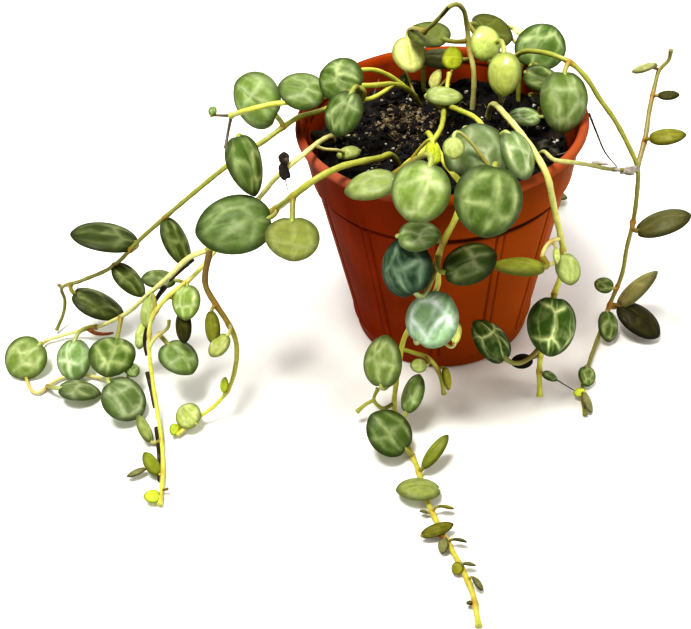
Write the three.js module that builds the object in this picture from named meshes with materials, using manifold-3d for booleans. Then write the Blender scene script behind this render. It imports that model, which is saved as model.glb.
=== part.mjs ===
// A potted string of turtles: a small nursery pot of peat mix, and the creeping stems that grow from it,
// hang over its rim and run on along the surface that it stands on. Each stem carries thick round leaves.
// Millimetres, +Z up. The origin is the middle of the pot's underside, and the front is towards -Y.
import * as THREE from 'three';
import { mergeVertices } from 'three/addons/utils/BufferGeometryUtils.js';
import Module from 'manifold-3d';

const wasm = await Module();
wasm.setup();

// Pot, a two and a half inch nursery pot of thin moulded plastic
const POT_HEIGHT = 58;
const RIM_RADIUS = 32.5;
const COLLAR_RADIUS_TOP = 31.3;
const COLLAR_RADIUS_LOW = 30;
const COLLAR_DEPTH = 12.8;
const BODY_RADIUS_TOP = 29.2;
const FOOT_RADIUS = 22.7;
const FOOT_HEIGHT = 4.8;
const BASE_RADIUS = 21.9;
const WALL = 1.1;
const FLOOR = 2.4;
const LIP_HEIGHT = 2.2;
const PANELS = 12;
const PANEL_RISE = 0.35;
const FIRST_SEAM = THREE.MathUtils.degToRad(-4);
const FOOT_RING_INNER = 18;
const CENTRE_PAD_RADIUS = 10.4;
const UNDERSIDE_RECESS = 1.4;
const DRAIN_HOLES = 6;
const DRAIN_RADIUS = 2.5;
const DRAIN_CIRCLE = 14.2;
const POT_SEGMENTS = 36;
const COLLAR_LOW = POT_HEIGHT - COLLAR_DEPTH;
const LIP_LOW = POT_HEIGHT - LIP_HEIGHT;
const LEDGE = 0.4;
const EDGE_BREAK = 0.5;
const RECESS_DRAFT = 0.6;
const BODY_INSIDE_TOP = BODY_RADIUS_TOP - WALL - PANEL_RISE;
const BODY_INSIDE_LOW = FOOT_RADIUS - WALL - PANEL_RISE;
const SHOULDER_LOW = COLLAR_LOW - 1;
const DRAIN_SIDES = 8;

// Peat mix
const SOIL_LEVEL = 51;
const SOIL_GAP = 0.45;
const SOIL_WAVE = 0.7;
const SOIL_RINGS = 4;
const SOIL_SEGMENTS = 20;
const SOIL_EDGE_DROP = 1.5;
const CRUMBS = 8;
const CRUMB_SEED = 7;
const CRUMB_SMALLEST = 0.8;
const CRUMB_RANGE = 1.3;
const CRUMB_MARGIN = 3.2;
const ROOT_DEPTH = 7;
const UPRIGHT_STEM = 3;
const BORE_CLEARANCE = 0.6;
const BORE_SIDES = 6;
const BORE_HEADROOM = 6;

// Leaves and stems
const STEM_SIDES = 5;
const STEM_STEP = 7.5;
const TWIG_STEP = 3;
const LONG_STEM = 26;
const CENTRE_LINE_STEP = 0.8;
const STALK_SIDES = 4;
const STALK_STEP = 3.2;
const STALK_SHARE = 0.88;
const STALK_BEND = 0.4;
const LARGE_LEAF = 8;
const SMALL_LEAF = 5;
const LARGE_LEAF_SIDES = 9;
const LEAF_SIDES = 7;
const SMALL_LEAF_SIDES = 5;
const THIN_EDGE = 0.62;
const THICK_EDGE = 0.9;
const LEAF_BULGE = 0.17;
const LEAF_THINNEST = 0.85;
const LEAF_THICKEST = 2.3;
const LEAF_INNER_RING = 0.62;
const LEAF_SHOULDER = 0.25;
const LEAF_CUP = 0.35;
const LEAF_TAPER = 0.1;
const LEAF_POINT = 0.05;
const SUNK = 0.4;
const GROUND_GAP = 0.15;
const SCRAP = 1;

const POT_FINISH = { color: 0xa5441e, roughness: 0.45 };
const SOIL_FINISH = { color: 0x1d1815, roughness: 0.95 };
const PLANT_FINISH = { color: 0x5f8a45, roughness: 0.5 };

// A leaf: the middle of its blade, its length and width, the way its upper side faces (degrees round from the
// front towards the right, and degrees up from level), and how far its tip is turned from pointing downhill.
const leaf = (x, y, z, length, width, round, up, turn) => ({ x, y, z, length, width, round, up, turn });

// A stem: its thickness where it starts and where it ends, and the points that it grows through.
const stem = (thick, thin, ...points) => ({ thick, thin, points, rooted: false });

// A stem that starts in the soil: its first point is where it leaves the surface.
const rooted = (thick, thin, ...points) => ({ ...stem(thick, thin, ...points), rooted: true });

// The longest strand on the left goes over the rim and arches out and down.
const STRAND_LEFT_LONG = {
  stems: [
    rooted(1.4, 1, [-21, 14.5], [-24, 6, 57], [-27, -2, 60.5], [-31, -6, 61.5], [-38, -11, 59],
      [-46, -14, 55], [-54, -15, 49], [-63, -14, 41], [-70.5, -13, 34], [-79.5, -12, 25], [-90, -9, 18],
      [-97.5, -5.5, 12.5], [-98, -5, 8], [-99, -6, 4.5], [-101, -9, 1]),
    stem(1, 0.9, [-97, -6, 12.5], [-98.5, -4.5, 12.8]),
  ],
  leaves: [
    leaf(-40.2, -5, 65.5, 13, 11.8, -30, 25, -110),
    leaf(-40.6, -18.7, 58, 13, 9.6, 62, 28, -19),
    leaf(-60.1, -17.1, 36.5, 12, 7.5, 74, 33, -21),
    leaf(-79.9, -9.8, 33, 15.6, 11.4, 101, 71, 179),
    leaf(-75.1, -14.2, 22.8, 10.2, 6.6, 73, 46, -7),
    leaf(-87.1, -9.2, 11, 13.6, 10, 96, 59, -8),
  ],
};

// The thickest stem on the left forks into a cream branch that runs along the surface and a thin brown loop.
const STRAND_LEFT_THICK = {
  stems: [
    rooted(1.7, 1.5, [-9.2, -9.5], [-10.6, -13.5, 56.2], [-12.8, -18.6, 58.8], [-15.3, -22.4, 60.8],
      [-20.5, -25.4, 61.3], [-25.7, -29, 60.5], [-30, -29, 57],
      [-35.8, -23, 49.1], [-43.5, -24, 45], [-52, -22.5, 38]),
    stem(1.5, 1, [-52, -22.5, 38], [-56.5, -22.5, 36], [-62.5, -22, 30], [-70, -19.5, 22], [-78, -16, 13],
      [-87.5, -13, 6], [-96, -11, 2], [-102.5, -13, 1.2]),
    stem(1, 0.9, [-102.5, -13, 1.2], [-105, -20, 1.5], [-103, -28, 1], [-99.5, -31.5, 0.9],
      [-95, -26.5, 0.9], [-89, -25.5, 0.9], [-82, -27.5, 1.2], [-76.2, -30, 1.5]),
    stem(1.9, 0.9, [-51.5, -22.5, 38], [-53, -26.5, 31.5], [-51, -29, 28], [-48.7, -30.5, 24],
      [-47, -32, 19], [-47.3, -34.3, 14], [-49.2, -37.5, 9], [-53, -39.5, 5], [-57.5, -41.5, 2.5],
      [-61.5, -45, 1]),
  ],
  leaves: [
    leaf(-43.5, -28.1, 49.5, 16.2, 13.3, 11, 58, -87),
    leaf(-29.7, -38.6, 52.8, 11.4, 10.8, -136, -75, 38),
    leaf(-104, -23.5, 5, 11, 10.6, 2, 44, -47),
    leaf(-91.5, -24, 5, 10.4, 10, -21, 44, 15),
    leaf(-79.5, -27, 10, 12.2, 11, 70, 75, -70),
    leaf(-88, -32, 3, 10, 8.2, 132, 70, -35),
    leaf(-74.5, -38, 6, 11, 10.6, 60, 50, 0),
    leaf(-74.5, -29.5, 7, 4, 3.5, 51, 70, -14),
    leaf(-51.5, -34, 25, 7.5, 4.5, -38, 32, 28),
    leaf(-49.5, -37.5, 23, 6, 5, -43, 63, 0),
    leaf(-50, -38.5, 11, 3.8, 2.6, -41, 29, -173),
    leaf(-59.4, -41, 3.6, 7.2, 6.2, -42, 66, -95),
    leaf(-62, -44, 2, 3.4, 2.6, 84, 50, -97),
  ],
};

// The thin yellow strand crosses under the fork and runs forward along the surface to its lime young tip.
const STRAND_LEFT_THIN = {
  stems: [
    rooted(1.3, 1.1, [-22, 3.5], [-24, -4, 55.5], [-26, -14, 60], [-28.5, -20, 61], [-31.5, -21, 59],
      [-34.5, -20.5, 56], [-40.5, -17.6, 47.5], [-47, -15.4, 39.4], [-52.3, -17, 33.1], [-57, -22, 29.8],
      [-62.5, -25.5, 27], [-67, -27.5, 22], [-68.5, -30, 15.5], [-68, -35, 8], [-66.5, -41, 3],
      [-64.5, -48, 1], [-62.5, -57, 0.9], [-61.5, -65, 0.9]),
    stem(1, 0.8, [-68.5, -30, 15], [-66.8, -29.5, 17.5], [-63.8, -27.5, 19], [-63.4, -26.5, 20.5]),
    rooted(1, 0.8, [-20.5, -5.5], [-22, -11, 56], [-25, -14.5, 58.8], [-26.3, -15.5, 60.3]),
    stem(0.7, 0.6, [-61.8, -61, 0.9], [-60.3, -61.3, 1.8]),
  ],
  leaves: [
    leaf(-67, -16.5, 25, 8, 6, 72, 72, -150),
    leaf(-58.5, -27, 26.5, 8.2, 7.4, -21, 40, 7),
    leaf(-60, -28.5, 20.5, 8, 5.4, -42, 30, 22),
    leaf(-61.3, -31.5, 13.5, 10, 9, 66, 68, -20),
    leaf(-69.2, -23.9, 21, 7.6, 5, -42, 42, 20),
    leaf(-72.6, -23, 13, 7.5, 5, -57, 42, 28),
    leaf(-68.5, -45, 3, 7, 4.5, 96, 30, 138),
    leaf(-64.8, -55, 2.4, 6, 4.5, 93, 40, 144),
    leaf(-68.5, -56.5, 1.8, 4.5, 2, -132, 80, 71),
    leaf(-63.3, -63.4, 2, 3.6, 3.2, 62, 70, -143),
    leaf(-26, -4.4, 55.4, 5.8, 4.6, 47, 68, -149),
    leaf(-20.2, -8.4, 54, 5.4, 4.2, -27, 80, -54),
  ],
};

// A spray over the left rim: three broad leaves, and a stem that ends in two thin twigs.
const SPRAY_LEFT = {
  stems: [
    rooted(1.4, 1.3, [-5, 17], [-7.5, 12, 57.5], [-10.5, 6.5, 62], [-14.5, 0, 65.5], [-18, -3, 67],
      [-23, -6, 67], [-30, -8.5, 67], [-35.5, -9.5, 67], [-41, -10, 66], [-46, -4.5, 61.5]),
    stem(0.8, 0.6, [-46, -4.5, 61.5], [-48.5, -3.5, 61], [-51, -3, 61]),
    stem(0.8, 0.7, [-46, -4.5, 61.5], [-47, -7, 58], [-47.3, -9.5, 56.3]),
    stem(1.3, 1.1, [-7.5, 12, 57.5], [-11, 9, 62.5], [-14.5, 5, 66.5], [-18, 0.5, 69]),
    stem(1.2, 1.1, [-10.5, 6.5, 62], [-12.5, 1.5, 63], [-15, -3, 64], [-17, -6, 65.5]),
  ],
  leaves: [
    leaf(-21, -7, 71, 10, 9.5, -21, 40, -99),
    leaf(-29.2, -7, 69, 10, 9, 16, 60, -113),
    leaf(-20, -16, 68.5, 9.5, 8.5, -28, 44, -2),
    leaf(-50.2, -3.2, 62, 2.6, 2, 61, 35, 108),
    leaf(-8, 19.5, 55.5, 4, 3.2, 50, 40, -29),
  ],
};

// The front plant: one junction just above the soil feeds the leaves that spill over the front rim.
const CLUSTER_FRONT = {
  stems: [
    rooted(1.7, 1.5, [1, 11], [1, 8, 55.5]),
    stem(1.3, 1, [1, 8, 55.5], [1.4, 9.5, 57.5], [1.8, 12, 59.3], [2.2, 14, 60.2]),
    stem(1.5, 1.2, [1, 8, 55.5], [4.5, -1.5, 59.5], [7.5, -8, 61.5], [10, -17, 63]),
    stem(1.5, 1.2, [1, 8, 55.5], [0, -9, 59.5], [-3, -19.5, 61.5], [-7, -26, 62], [-9.5, -30, 62]),
    stem(1.2, 1, [10, -17, 63], [11, -28, 62.5], [10.5, -35, 62.5]),
  ],
  leaves: [
    leaf(7, -27.3, 65.7, 13.8, 12.6, -17, 64, 39),
    leaf(15.5, -27.4, 65, 10, 8, 50, 42, -11),
    leaf(9.1, -43.8, 65.7, 13.2, 13.2, 20, 36, -22),
    leaf(-4, -41, 66, 11.5, 11.8, -24, 36, -8),
    leaf(-13.5, -35, 64, 10.5, 8, -42, 76, -44),
    leaf(2.5, -32.5, 70, 4.4, 4.2, 0, 50, 0),
    leaf(-1.2, -29.5, 67, 4.8, 4, 62, 42, -51),
    leaf(3, 15, 63.5, 5.2, 5, 18, 30, 170),
    leaf(-1.3, 16.5, 57.5, 4.8, 4, -58, 34, -169),
    leaf(0.9, 6.1, 59.4, 8.4, 6, 30, 76, 59),
  ],
};

// The strand that hangs down the front of the pot and runs on towards the viewer.
const STRAND_FRONT = {
  stems: [
    rooted(1.5, 1.3, [-3, 3], [-2, -8, 57], [1, -26, 62], [4.3, -34.3, 61.4], [3.2, -36.4, 57.2],
      [0.6, -36.3, 50.5], [-0.8, -35.6, 44.5], [-0.7, -35.2, 38], [-4.5, -34.7, 29], [-8, -35, 23],
      [-9.2, -36.4, 18], [-10.3, -37.5, 11], [-10.8, -40, 4], [-7.7, -48, 1.2], [-5.5, -54, 1],
      [-3.3, -63, 0.9], [-0.7, -69.5, 0.9], [1.7, -75, 0.9], [3.5, -79, 0.9], [5.7, -85, 0.9],
      [6.8, -92.5, 0.8]),
    stem(1.2, 1.1, [-8.8, -35.5, 20], [-6, -36.5, 19.3], [-3, -36.7, 18], [-0.4, -37, 13], [0.5, -38.3, 8]),
    stem(1.1, 0.9, [-10.8, -39, 5.5], [-13.5, -40.5, 5.5], [-15.5, -39.3, 7], [-14.5, -38, 9.5]),
    stem(1, 1, [-15.5, -39.3, 7], [-17.5, -39.3, 5.5], [-19.5, -40, 3.8]),
  ],
  leaves: [
    leaf(-4.4, -38.4, 54, 8.4, 7.6, -18, 74, 103),
    leaf(-7.3, -41.5, 48, 11.7, 11.1, -32, 40, -137),
    leaf(5.4, -40, 48, 11, 9.5, -36, 66, 139),
    leaf(-2.2, -40.5, 33, 12, 11.5, -24, 40, 164),
    leaf(3, -40, 28.5, 4.6, 2.6, -60, 44, -143),
    leaf(-13.2, -40, 20, 11.4, 9.6, -35, 39, -162),
    leaf(-5, -40, 19, 3.6, 3.4, 3, 65, -92),
    leaf(-6.9, -40.5, 10.5, 9, 6.2, -59, 44, -156),
    leaf(1.4, -38.2, 13, 5.2, 3, 71, 29, -38),
    leaf(-11.4, -49, 7, 11, 10, 36, 54, -162),
    leaf(-1.9, -52.6, 5, 9, 3.8, -76, 55, -154),
    leaf(-5, -61, 3, 9.4, 7.4, 163, 75, 113),
    leaf(-3.9, -66.2, 1.6, 1.8, 1.6, 165, 45, 104),
    leaf(0.8, -65.4, 2.2, 3.4, 1.8, 165, 45, -69),
    leaf(-1.1, -71.8, 2.8, 7, 2.6, 10, 60, 102),
    leaf(0, -75, 1.8, 3.2, 2.6, -60, 45, 38),
    leaf(3.5, -73.7, 2.2, 3, 1.4, 165, 45, -78),
    leaf(5.3, -79.4, 2.2, 2.7, 1.6, 165, 45, -69),
    leaf(2.8, -80.4, 1.8, 2.6, 2.4, -30, 50, -14),
    leaf(7, -83.6, 1.8, 3.2, 2, 100, 50, -53),
    leaf(5.2, -87.7, 1.4, 1.6, 1.2, 165, 50, 156),
  ],
};

// The thick yellow-green strand on the front right hangs beside the pot and ends in a cut stub.
const STRAND_FRONT_RIGHT = {
  stems: [
    rooted(1.6, 1.4, [11, 9.5], [11.7, 5, 57], [14.4, -9, 61.8], [17, -18.5, 63], [19, -24, 62.5],
      [21, -27.5, 60], [23, -27, 52], [25.2, -26, 43], [26, -25.5, 39], [26, -26, 33], [24.6, -26.5, 26],
      [23.6, -27.5, 17], [22.7, -28.5, 9], [22.8, -32.5, 1.2]),
    stem(1.1, 1, [25.2, -26, 43], [22.5, -28, 43], [21.2, -29.5, 41], [22.4, -29.5, 38.5], [25.5, -26, 37]),
  ],
  leaves: [
    leaf(27, -29.5, 37.5, 7, 6, 40, 51, -24),
    leaf(24.2, -30.2, 41.5, 3.6, 2.4, 61, 27, -40),
    leaf(16.1, -33.5, 42.1, 10.8, 7, 174, 80, 90),
    leaf(24.5, -33, 24, 12.8, 11.8, 29, 39, -25),
    leaf(11.3, -33, 20, 11, 9, 58, 55, 172),
    leaf(18.4, -30.5, 11, 5.2, 4, 35, 80, -100),
    leaf(25, -31, 6.5, 3.8, 3, 86, 72, -15),
  ],
};

// The right strand arches over the rim, hangs in the air beside the pot and lies forward along the surface.
const STRAND_RIGHT = {
  stems: [
    rooted(1.5, 1.2, [15.5, 20.5], [16, 17.5, 60], [18.3, 12, 66], [21, 6.5, 69], [24.5, 1.5, 70.5],
      [28, -0.5, 69.5], [31, -2.4, 67], [34, -3, 62.5], [37.4, -4, 58], [40.5, -5.7, 53], [43, -7.7, 48],
      [43.8, -7.6, 41], [43.9, -7.7, 33], [43.5, -7.2, 25], [43.3, -7.2, 17], [41.5, -7.5, 8],
      [39, -12, 2.5], [35.4, -21.5, 0.9], [33, -30, 0.9], [32.7, -38, 0.9]),
    stem(1.1, 0.8, [43, -7.7, 48], [45.2, -1.5, 52], [46.2, 3, 55], [48, 9, 59], [49, 11.4, 61],
      [50.8, 12, 63], [51, 12, 65.5]),
    stem(0.8, 0.7, [49, 11.4, 61], [47, 11.5, 61.8], [45, 11, 62.2]),
    rooted(1.3, 1.1, [20.5, -9.5], [21.3, -17, 58.5], [23, -24, 61], [26, -24, 60.5], [30, -20.5, 57.5],
      [35, -15.5, 53], [42.5, -8.2, 47.5]),
  ],
  leaves: [
    leaf(26.5, -6.5, 64.1, 12.8, 12, 34, 30, -19),
    leaf(49.3, -11.5, 36, 12, 7.5, -71, 68, 164),
    leaf(39.4, -7, 13.5, 4.6, 4, -20, 60, -99),
    leaf(47.7, -4, 10, 12.5, 6.5, -93, 49, -158),
    leaf(48.6, -10, 5, 12, 8.5, 41, 68, 13),
    leaf(41, -12, 4.5, 7.6, 5.6, 36, 43, -22),
    leaf(34.2, -27.7, 3, 4.8, 4.4, 31, 50, -22),
    leaf(32, -32, 2, 2.8, 2.4, -38, 70, -56),
    leaf(33.6, -35.4, 2, 5, 3, 72, 45, -39),
    leaf(45.4, 10.8, 62.2, 5.4, 2.6, -80, 70, -10),
    leaf(50.2, 5, 58.5, 4.6, 2.8, -36, 74, 115),
    leaf(49, -4.5, 54, 7.6, 4.6, -48, 72, 129),
  ],
};

// An arched shoot at the back whose end leaves hang over the back left of the soil.
const SHOOT_ARCHED = {
  stems: [
    rooted(1.5, 1.1, [7.5, 12.5], [7.8, 12.5, 58], [7.6, 13, 62], [6.6, 15.5, 66], [6.2, 16.5, 70],
      [5.3, 15.3, 75], [3.8, 14, 77], [2.2, 13, 77], [0.4, 13, 75], [-1.5, 14, 72.5], [-3.5, 16.5, 69.5]),
  ],
  leaves: [
    leaf(-2.5, 21, 66, 10.2, 9, 177, -80, 120),
    leaf(-7, 20, 62.5, 9, 8, 20, 52, -7),
    leaf(0.5, 22.5, 60, 10, 7, 32, 76, -118),
  ],
};

// A shoot at the back right with plump pale new leaves.
const SHOOT_PALE = {
  stems: [
    rooted(1.4, 1.1, [14.5, 16], [13.3, 14, 58], [12, 12.5, 64], [11, 13.5, 67]),
  ],
  leaves: [
    leaf(11.6, 21, 66.6, 10.3, 9.2, -132, -58, -40),
    leaf(10.2, 8, 70.5, 7.5, 7, 20, 30, -178),
    leaf(13.2, -1.5, 68.3, 9.4, 8.8, -30, 28, 15),
  ],
};

// A shoot beside it with broad green older leaves.
const SHOOT_GREEN = {
  stems: [
    rooted(1.5, 1.2, [22.5, 8], [23.5, 9, 57], [24, 10.5, 61]),
  ],
  leaves: [
    leaf(23.1, 17.5, 64.8, 11.8, 11.4, 2, 56, 149),
    leaf(22.8, 9, 61.2, 8.4, 6.4, 9, 55, 61),
    leaf(22, 5.5, 57.5, 4.4, 2.8, 64, 60, 10),
    leaf(18.8, 2, 55.8, 7.5, 5.5, 24, 72, -110),
    leaf(19.5, 27, 63.5, 5, 3, 79, 66, -5),
  ],
};

// Two strands that fall over the back of the pot.
const STRAND_BACK_LEFT = {
  stems: [
    rooted(1.4, 1, [-4, 23.5], [-4.3, 27, 59.5], [-5, 31.5, 62], [-6, 36, 59.5], [-7, 37, 47],
      [-7.5, 36.5, 33], [-8, 36, 18], [-10, 38.5, 6], [-15, 45, 1.2], [-21, 52, 0.9], [-24, 59, 0.9]),
  ],
  leaves: [
    leaf(-10.5, 39.5, 48, 9, 8.5, -160, 30, 20),
    leaf(-3, 40.5, 39, 10, 9, 165, 30, -25),
    leaf(-4, 40, 19.5, 8.5, 7.5, 160, 40, -30),
    leaf(-13, 49, 3, 8, 7, 170, 65, -20),
    leaf(-21.5, 46.5, 3, 7, 6, -120, 70, 40),
    leaf(-19, 56.5, 2.4, 5.5, 5, 150, 70, -30),
    leaf(-23.5, 61.5, 1.8, 3.5, 3, 180, 65, 0),
  ],
};

const STRAND_BACK_RIGHT = {
  stems: [
    rooted(1.4, 1, [18.5, 17], [18.8, 19.5, 58], [20.5, 24.5, 61], [22.5, 28, 60.5], [23.5, 30, 55.5],
      [24, 31, 46], [24, 31, 33], [24.5, 31.5, 19], [25.5, 35, 7], [28, 41.5, 1.2], [29, 49, 0.9],
      [27, 56, 0.9]),
  ],
  leaves: [
    leaf(28.5, 33.5, 47, 9, 8.5, 145, 30, -20),
    leaf(20.5, 36, 38.5, 9.5, 9, -170, 32, 25),
    leaf(20.5, 37, 18, 8.5, 7.5, -165, 40, 25),
    leaf(24.5, 45, 3, 7, 6, -160, 66, 25),
    leaf(33.3, 46.5, 3, 7, 6, 120, 70, -40),
    leaf(31.5, 54.5, 2, 4.6, 4, 130, 70, -35),
    leaf(26.4, 58.6, 1.8, 3.4, 3, 180, 65, 0),
  ],
};

const STRANDS = {
  strand_left_long: STRAND_LEFT_LONG,
  strand_left_thick: STRAND_LEFT_THICK,
  strand_left_thin: STRAND_LEFT_THIN,
  spray_left: SPRAY_LEFT,
  cluster_front: CLUSTER_FRONT,
  strand_front: STRAND_FRONT,
  strand_front_right: STRAND_FRONT_RIGHT,
  strand_right: STRAND_RIGHT,
  shoot_arched: SHOOT_ARCHED,
  shoot_pale: SHOOT_PALE,
  shoot_green: SHOOT_GREEN,
  strand_back_left: STRAND_BACK_LEFT,
  strand_back_right: STRAND_BACK_RIGHT,
};

// Turn a closed geometry into a solid that can be joined and cut.
function solid(geometry) {
  const bare = geometry.clone();
  bare.deleteAttribute('normal');
  bare.deleteAttribute('uv');
  const merged = mergeVertices(bare, 1e-4);
  return new wasm.Manifold(new wasm.Mesh({
    numProp: 3,
    vertProperties: new Float32Array(merged.attributes.position.array),
    triVerts: new Uint32Array(merged.index.array),
  }));
}

// Turn a solid back into a geometry that a mesh can show.
function geometryOf(body) {
  const mesh = body.getMesh();
  const geometry = new THREE.BufferGeometry();
  geometry.setAttribute('position', new THREE.BufferAttribute(new Float32Array(mesh.vertProperties), 3));
  geometry.setIndex(new THREE.BufferAttribute(new Uint32Array(mesh.triVerts), 1));
  geometry.computeVertexNormals();
  return geometry;
}

function joined(solids) {
  return solids.reduce((whole, next) => whole.add(next));
}

// The outer body of what was joined, without the scraps and sealed hollows that joining can leave.
function largest(name, whole) {
  const bodies = whole.decompose().sort((a, b) => b.volume() - a.volume());
  const loose = bodies.slice(1).find((body) => body.volume() > SCRAP);
  if (loose) throw new Error(`${name} has a loose piece at ${loose.boundingBox().min.map(Math.round)}`);
  return bodies[0];
}

// A seeded draw between 0 and 1.
function draws(seed) {
  let state = seed;
  return () => {
    state = (state * 1664525 + 1013904223) % 4294967296;
    return state / 4294967296;
  };
}

// A closed lathe of (radius, height) pairs that stands upright along +Z.
function lathe(profile, segments) {
  const points = profile.map(([radius, height]) => new THREE.Vector2(radius, height));
  return new THREE.LatheGeometry(points, segments).rotateX(Math.PI / 2);
}

// How many straight stretches a tube along a curve is made of.
function stretches(curve, step) {
  return Math.ceil(curve.getLength() / step);
}

// A tube of a few sides along a curve, thinner towards its end.
function tube(curve, startRadius, endRadius, sides, step) {
  const steps = stretches(curve, step);
  const section = new THREE.Shape();
  for (let side = 0; side < sides; side += 1) {
    const angle = (side / sides) * 2 * Math.PI;
    const [x, y] = [startRadius * Math.cos(angle), startRadius * Math.sin(angle)];
    if (side === 0) section.moveTo(x, y);
    else section.lineTo(x, y);
  }
  const geometry = new THREE.ExtrudeGeometry(section, { steps, extrudePath: curve, bevelEnabled: false });
  const centres = curve.getSpacedPoints(steps);
  const position = geometry.attributes.position;
  const point = new THREE.Vector3();
  for (let i = 0; i < position.count; i += 1) {
    point.fromBufferAttribute(position, i);
    const centre = nearest(centres, point);
    const taper = THREE.MathUtils.lerp(1, endRadius / startRadius, centres.indexOf(centre) / steps);
    point.sub(centre).multiplyScalar(taper).add(centre);
    position.setXYZ(i, point.x, point.y, point.z);
  }
  return geometry;
}

function stemStep(curve) {
  return curve.getLength() > LONG_STEM ? STEM_STEP : TWIG_STEP;
}

// Points close together on the straight stretches that a stem's tube is made of.
function centreLine(curve) {
  const corners = curve.getSpacedPoints(stretches(curve, stemStep(curve)));
  const line = [];
  for (let i = 0; i + 1 < corners.length; i += 1) {
    const parts = Math.ceil(corners[i].distanceTo(corners[i + 1]) / CENTRE_LINE_STEP);
    for (let k = 0; k < parts; k += 1) line.push(corners[i].clone().lerp(corners[i + 1], k / parts));
  }
  return [...line, corners[corners.length - 1]];
}

function nearest(points, to) {
  return points.reduce((best, next) => (next.distanceTo(to) < best.distanceTo(to) ? next : best));
}

// A rooted stem starts with an upright stretch below the soil, and a side stem starts inside an earlier one.
function stemCurve({ points, rooted: inSoil }, earlier) {
  const rest = points.slice(1).map((p) => new THREE.Vector3(...p));
  const first = new THREE.Vector3(points[0][0], points[0][1], points[0][2] ?? SOIL_LEVEL);
  if (!inSoil) return new THREE.CatmullRomCurve3([nearest(earlier, first), ...rest]);
  const heights = [-ROOT_DEPTH, -ROOT_DEPTH / 2, 0, UPRIGHT_STEM];
  const upright = heights.map((z) => first.clone().setZ(SOIL_LEVEL + z));
  return new THREE.CatmullRomCurve3([...upright, ...rest]);
}

// The way a leaf lies: across its blade, towards its tip, and out of its upper side.
function leafAxes({ round, up, turn }) {
  const around = THREE.MathUtils.degToRad(round);
  const rise = THREE.MathUtils.degToRad(up);
  const turned = THREE.MathUtils.degToRad(turn);
  const face = new THREE.Vector3(
    Math.sin(around) * Math.cos(rise), -Math.cos(around) * Math.cos(rise), Math.sin(rise));
  const downhill = new THREE.Vector3(0, 0, -1).addScaledVector(face, face.z).normalize();
  const sideways = new THREE.Vector3().crossVectors(face, downhill);
  const tip = downhill.multiplyScalar(Math.cos(turned)).addScaledVector(sideways, Math.sin(turned));
  const across = new THREE.Vector3().crossVectors(tip, face);
  return { across, tip, face };
}

// The middle of a leaf, lifted where its edge would dip below the surface that the pot stands on.
function leafCentre(blade, { across, tip }) {
  const reach = Math.hypot(tip.z * blade.length, across.z * blade.width) / 2 + THIN_EDGE;
  return new THREE.Vector3(blade.x, blade.y, Math.max(blade.z, reach + GROUND_GAP));
}

// How thick a leaf is in the middle and at its edge.
function leafThickness({ length }) {
  const middle = THREE.MathUtils.clamp(LEAF_BULGE * length, LEAF_THINNEST, LEAF_THICKEST);
  return { middle, edge: length > SMALL_LEAF ? THICK_EDGE : THIN_EDGE };
}

function leafSides({ length }) {
  if (length > LARGE_LEAF) return LARGE_LEAF_SIDES;
  return length > SMALL_LEAF ? LEAF_SIDES : SMALL_LEAF_SIDES;
}

// How far a leaf is cupped down at a place given as fractions of its half width and half length.
function leafSag(blade, across, along) {
  return LEAF_CUP * leafThickness(blade).middle * (across * across + along * along) / 2;
}

// A thick round blade: a lens with a blunt edge, a little narrower towards its tip and cupped downwards.
function leafGeometry(blade) {
  const { middle, edge } = leafThickness(blade);
  const rim = [[1, -edge / 2], [1, edge / 2]];
  const shoulder = [LEAF_INNER_RING, THREE.MathUtils.lerp(edge, middle, LEAF_SHOULDER)];
  const dome = blade.length > LARGE_LEAF ? [shoulder] : [];
  const profile = [[0, -middle / 2], ...rim, ...dome, [0, middle / 2]];
  const geometry = lathe(profile, leafSides(blade)).rotateZ(Math.PI);
  const position = geometry.attributes.position;
  for (let i = 0; i < position.count; i += 1) {
    const across = position.getX(i);
    const along = position.getY(i);
    const point = LEAF_POINT * Math.max(0, along) ** 4;
    position.setXYZ(i,
      across * (blade.width / 2) * (1 - LEAF_TAPER * along),
      (along + point) * (blade.length / 2),
      position.getZ(i) - leafSag(blade, across, along));
  }
  const axes = leafAxes(blade);
  const place = new THREE.Matrix4().makeBasis(axes.across, axes.tip, axes.face);
  place.setPosition(leafCentre(blade, axes));
  return geometry.applyMatrix4(place);
}

// The leaf stalk runs from the nearest place on a stem into the edge of the blade's base.
function stalkGeometry(blade, stemPoints) {
  const axes = leafAxes(blade);
  const centre = leafCentre(blade, axes);
  const edge = centre.clone().addScaledVector(axes.tip, -blade.length / 2);
  edge.addScaledVector(axes.face, -leafSag(blade, 0, 1));
  const inside = edge.clone().addScaledVector(axes.tip, (SUNK * blade.length) / 2);
  const start = nearest(stemPoints, edge);
  const bend = edge.clone().addScaledVector(axes.tip, -STALK_BEND * start.distanceTo(edge));
  const curve = start.distanceTo(inside) < STALK_STEP
    ? new THREE.LineCurve3(start, inside)
    : new THREE.QuadraticBezierCurve3(start, bend, inside);
  const radius = STALK_SHARE * leafThickness(blade).edge / 2;
  return tube(curve, radius, radius, STALK_SIDES, STALK_STEP);
}

// The stems and leaves of one plant, joined into one body.
function strandSolid(name, { stems, leaves }) {
  const parts = [];
  const stemPoints = [];
  for (const growth of stems) {
    const curve = stemCurve(growth, stemPoints);
    parts.push(solid(tube(curve, growth.thick / 2, growth.thin / 2, STEM_SIDES, stemStep(curve))));
    stemPoints.push(...centreLine(curve));
  }
  const clear = SOIL_LEVEL + UPRIGHT_STEM - 1;
  const aboveSoil = stemPoints.filter((p) => p.z > clear || Math.hypot(p.x, p.y) > RIM_RADIUS);
  for (const blade of leaves) {
    parts.push(solid(leafGeometry(blade)));
    parts.push(solid(stalkGeometry(blade, aboveSoil)));
  }
  return largest(name, joined(parts));
}

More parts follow.
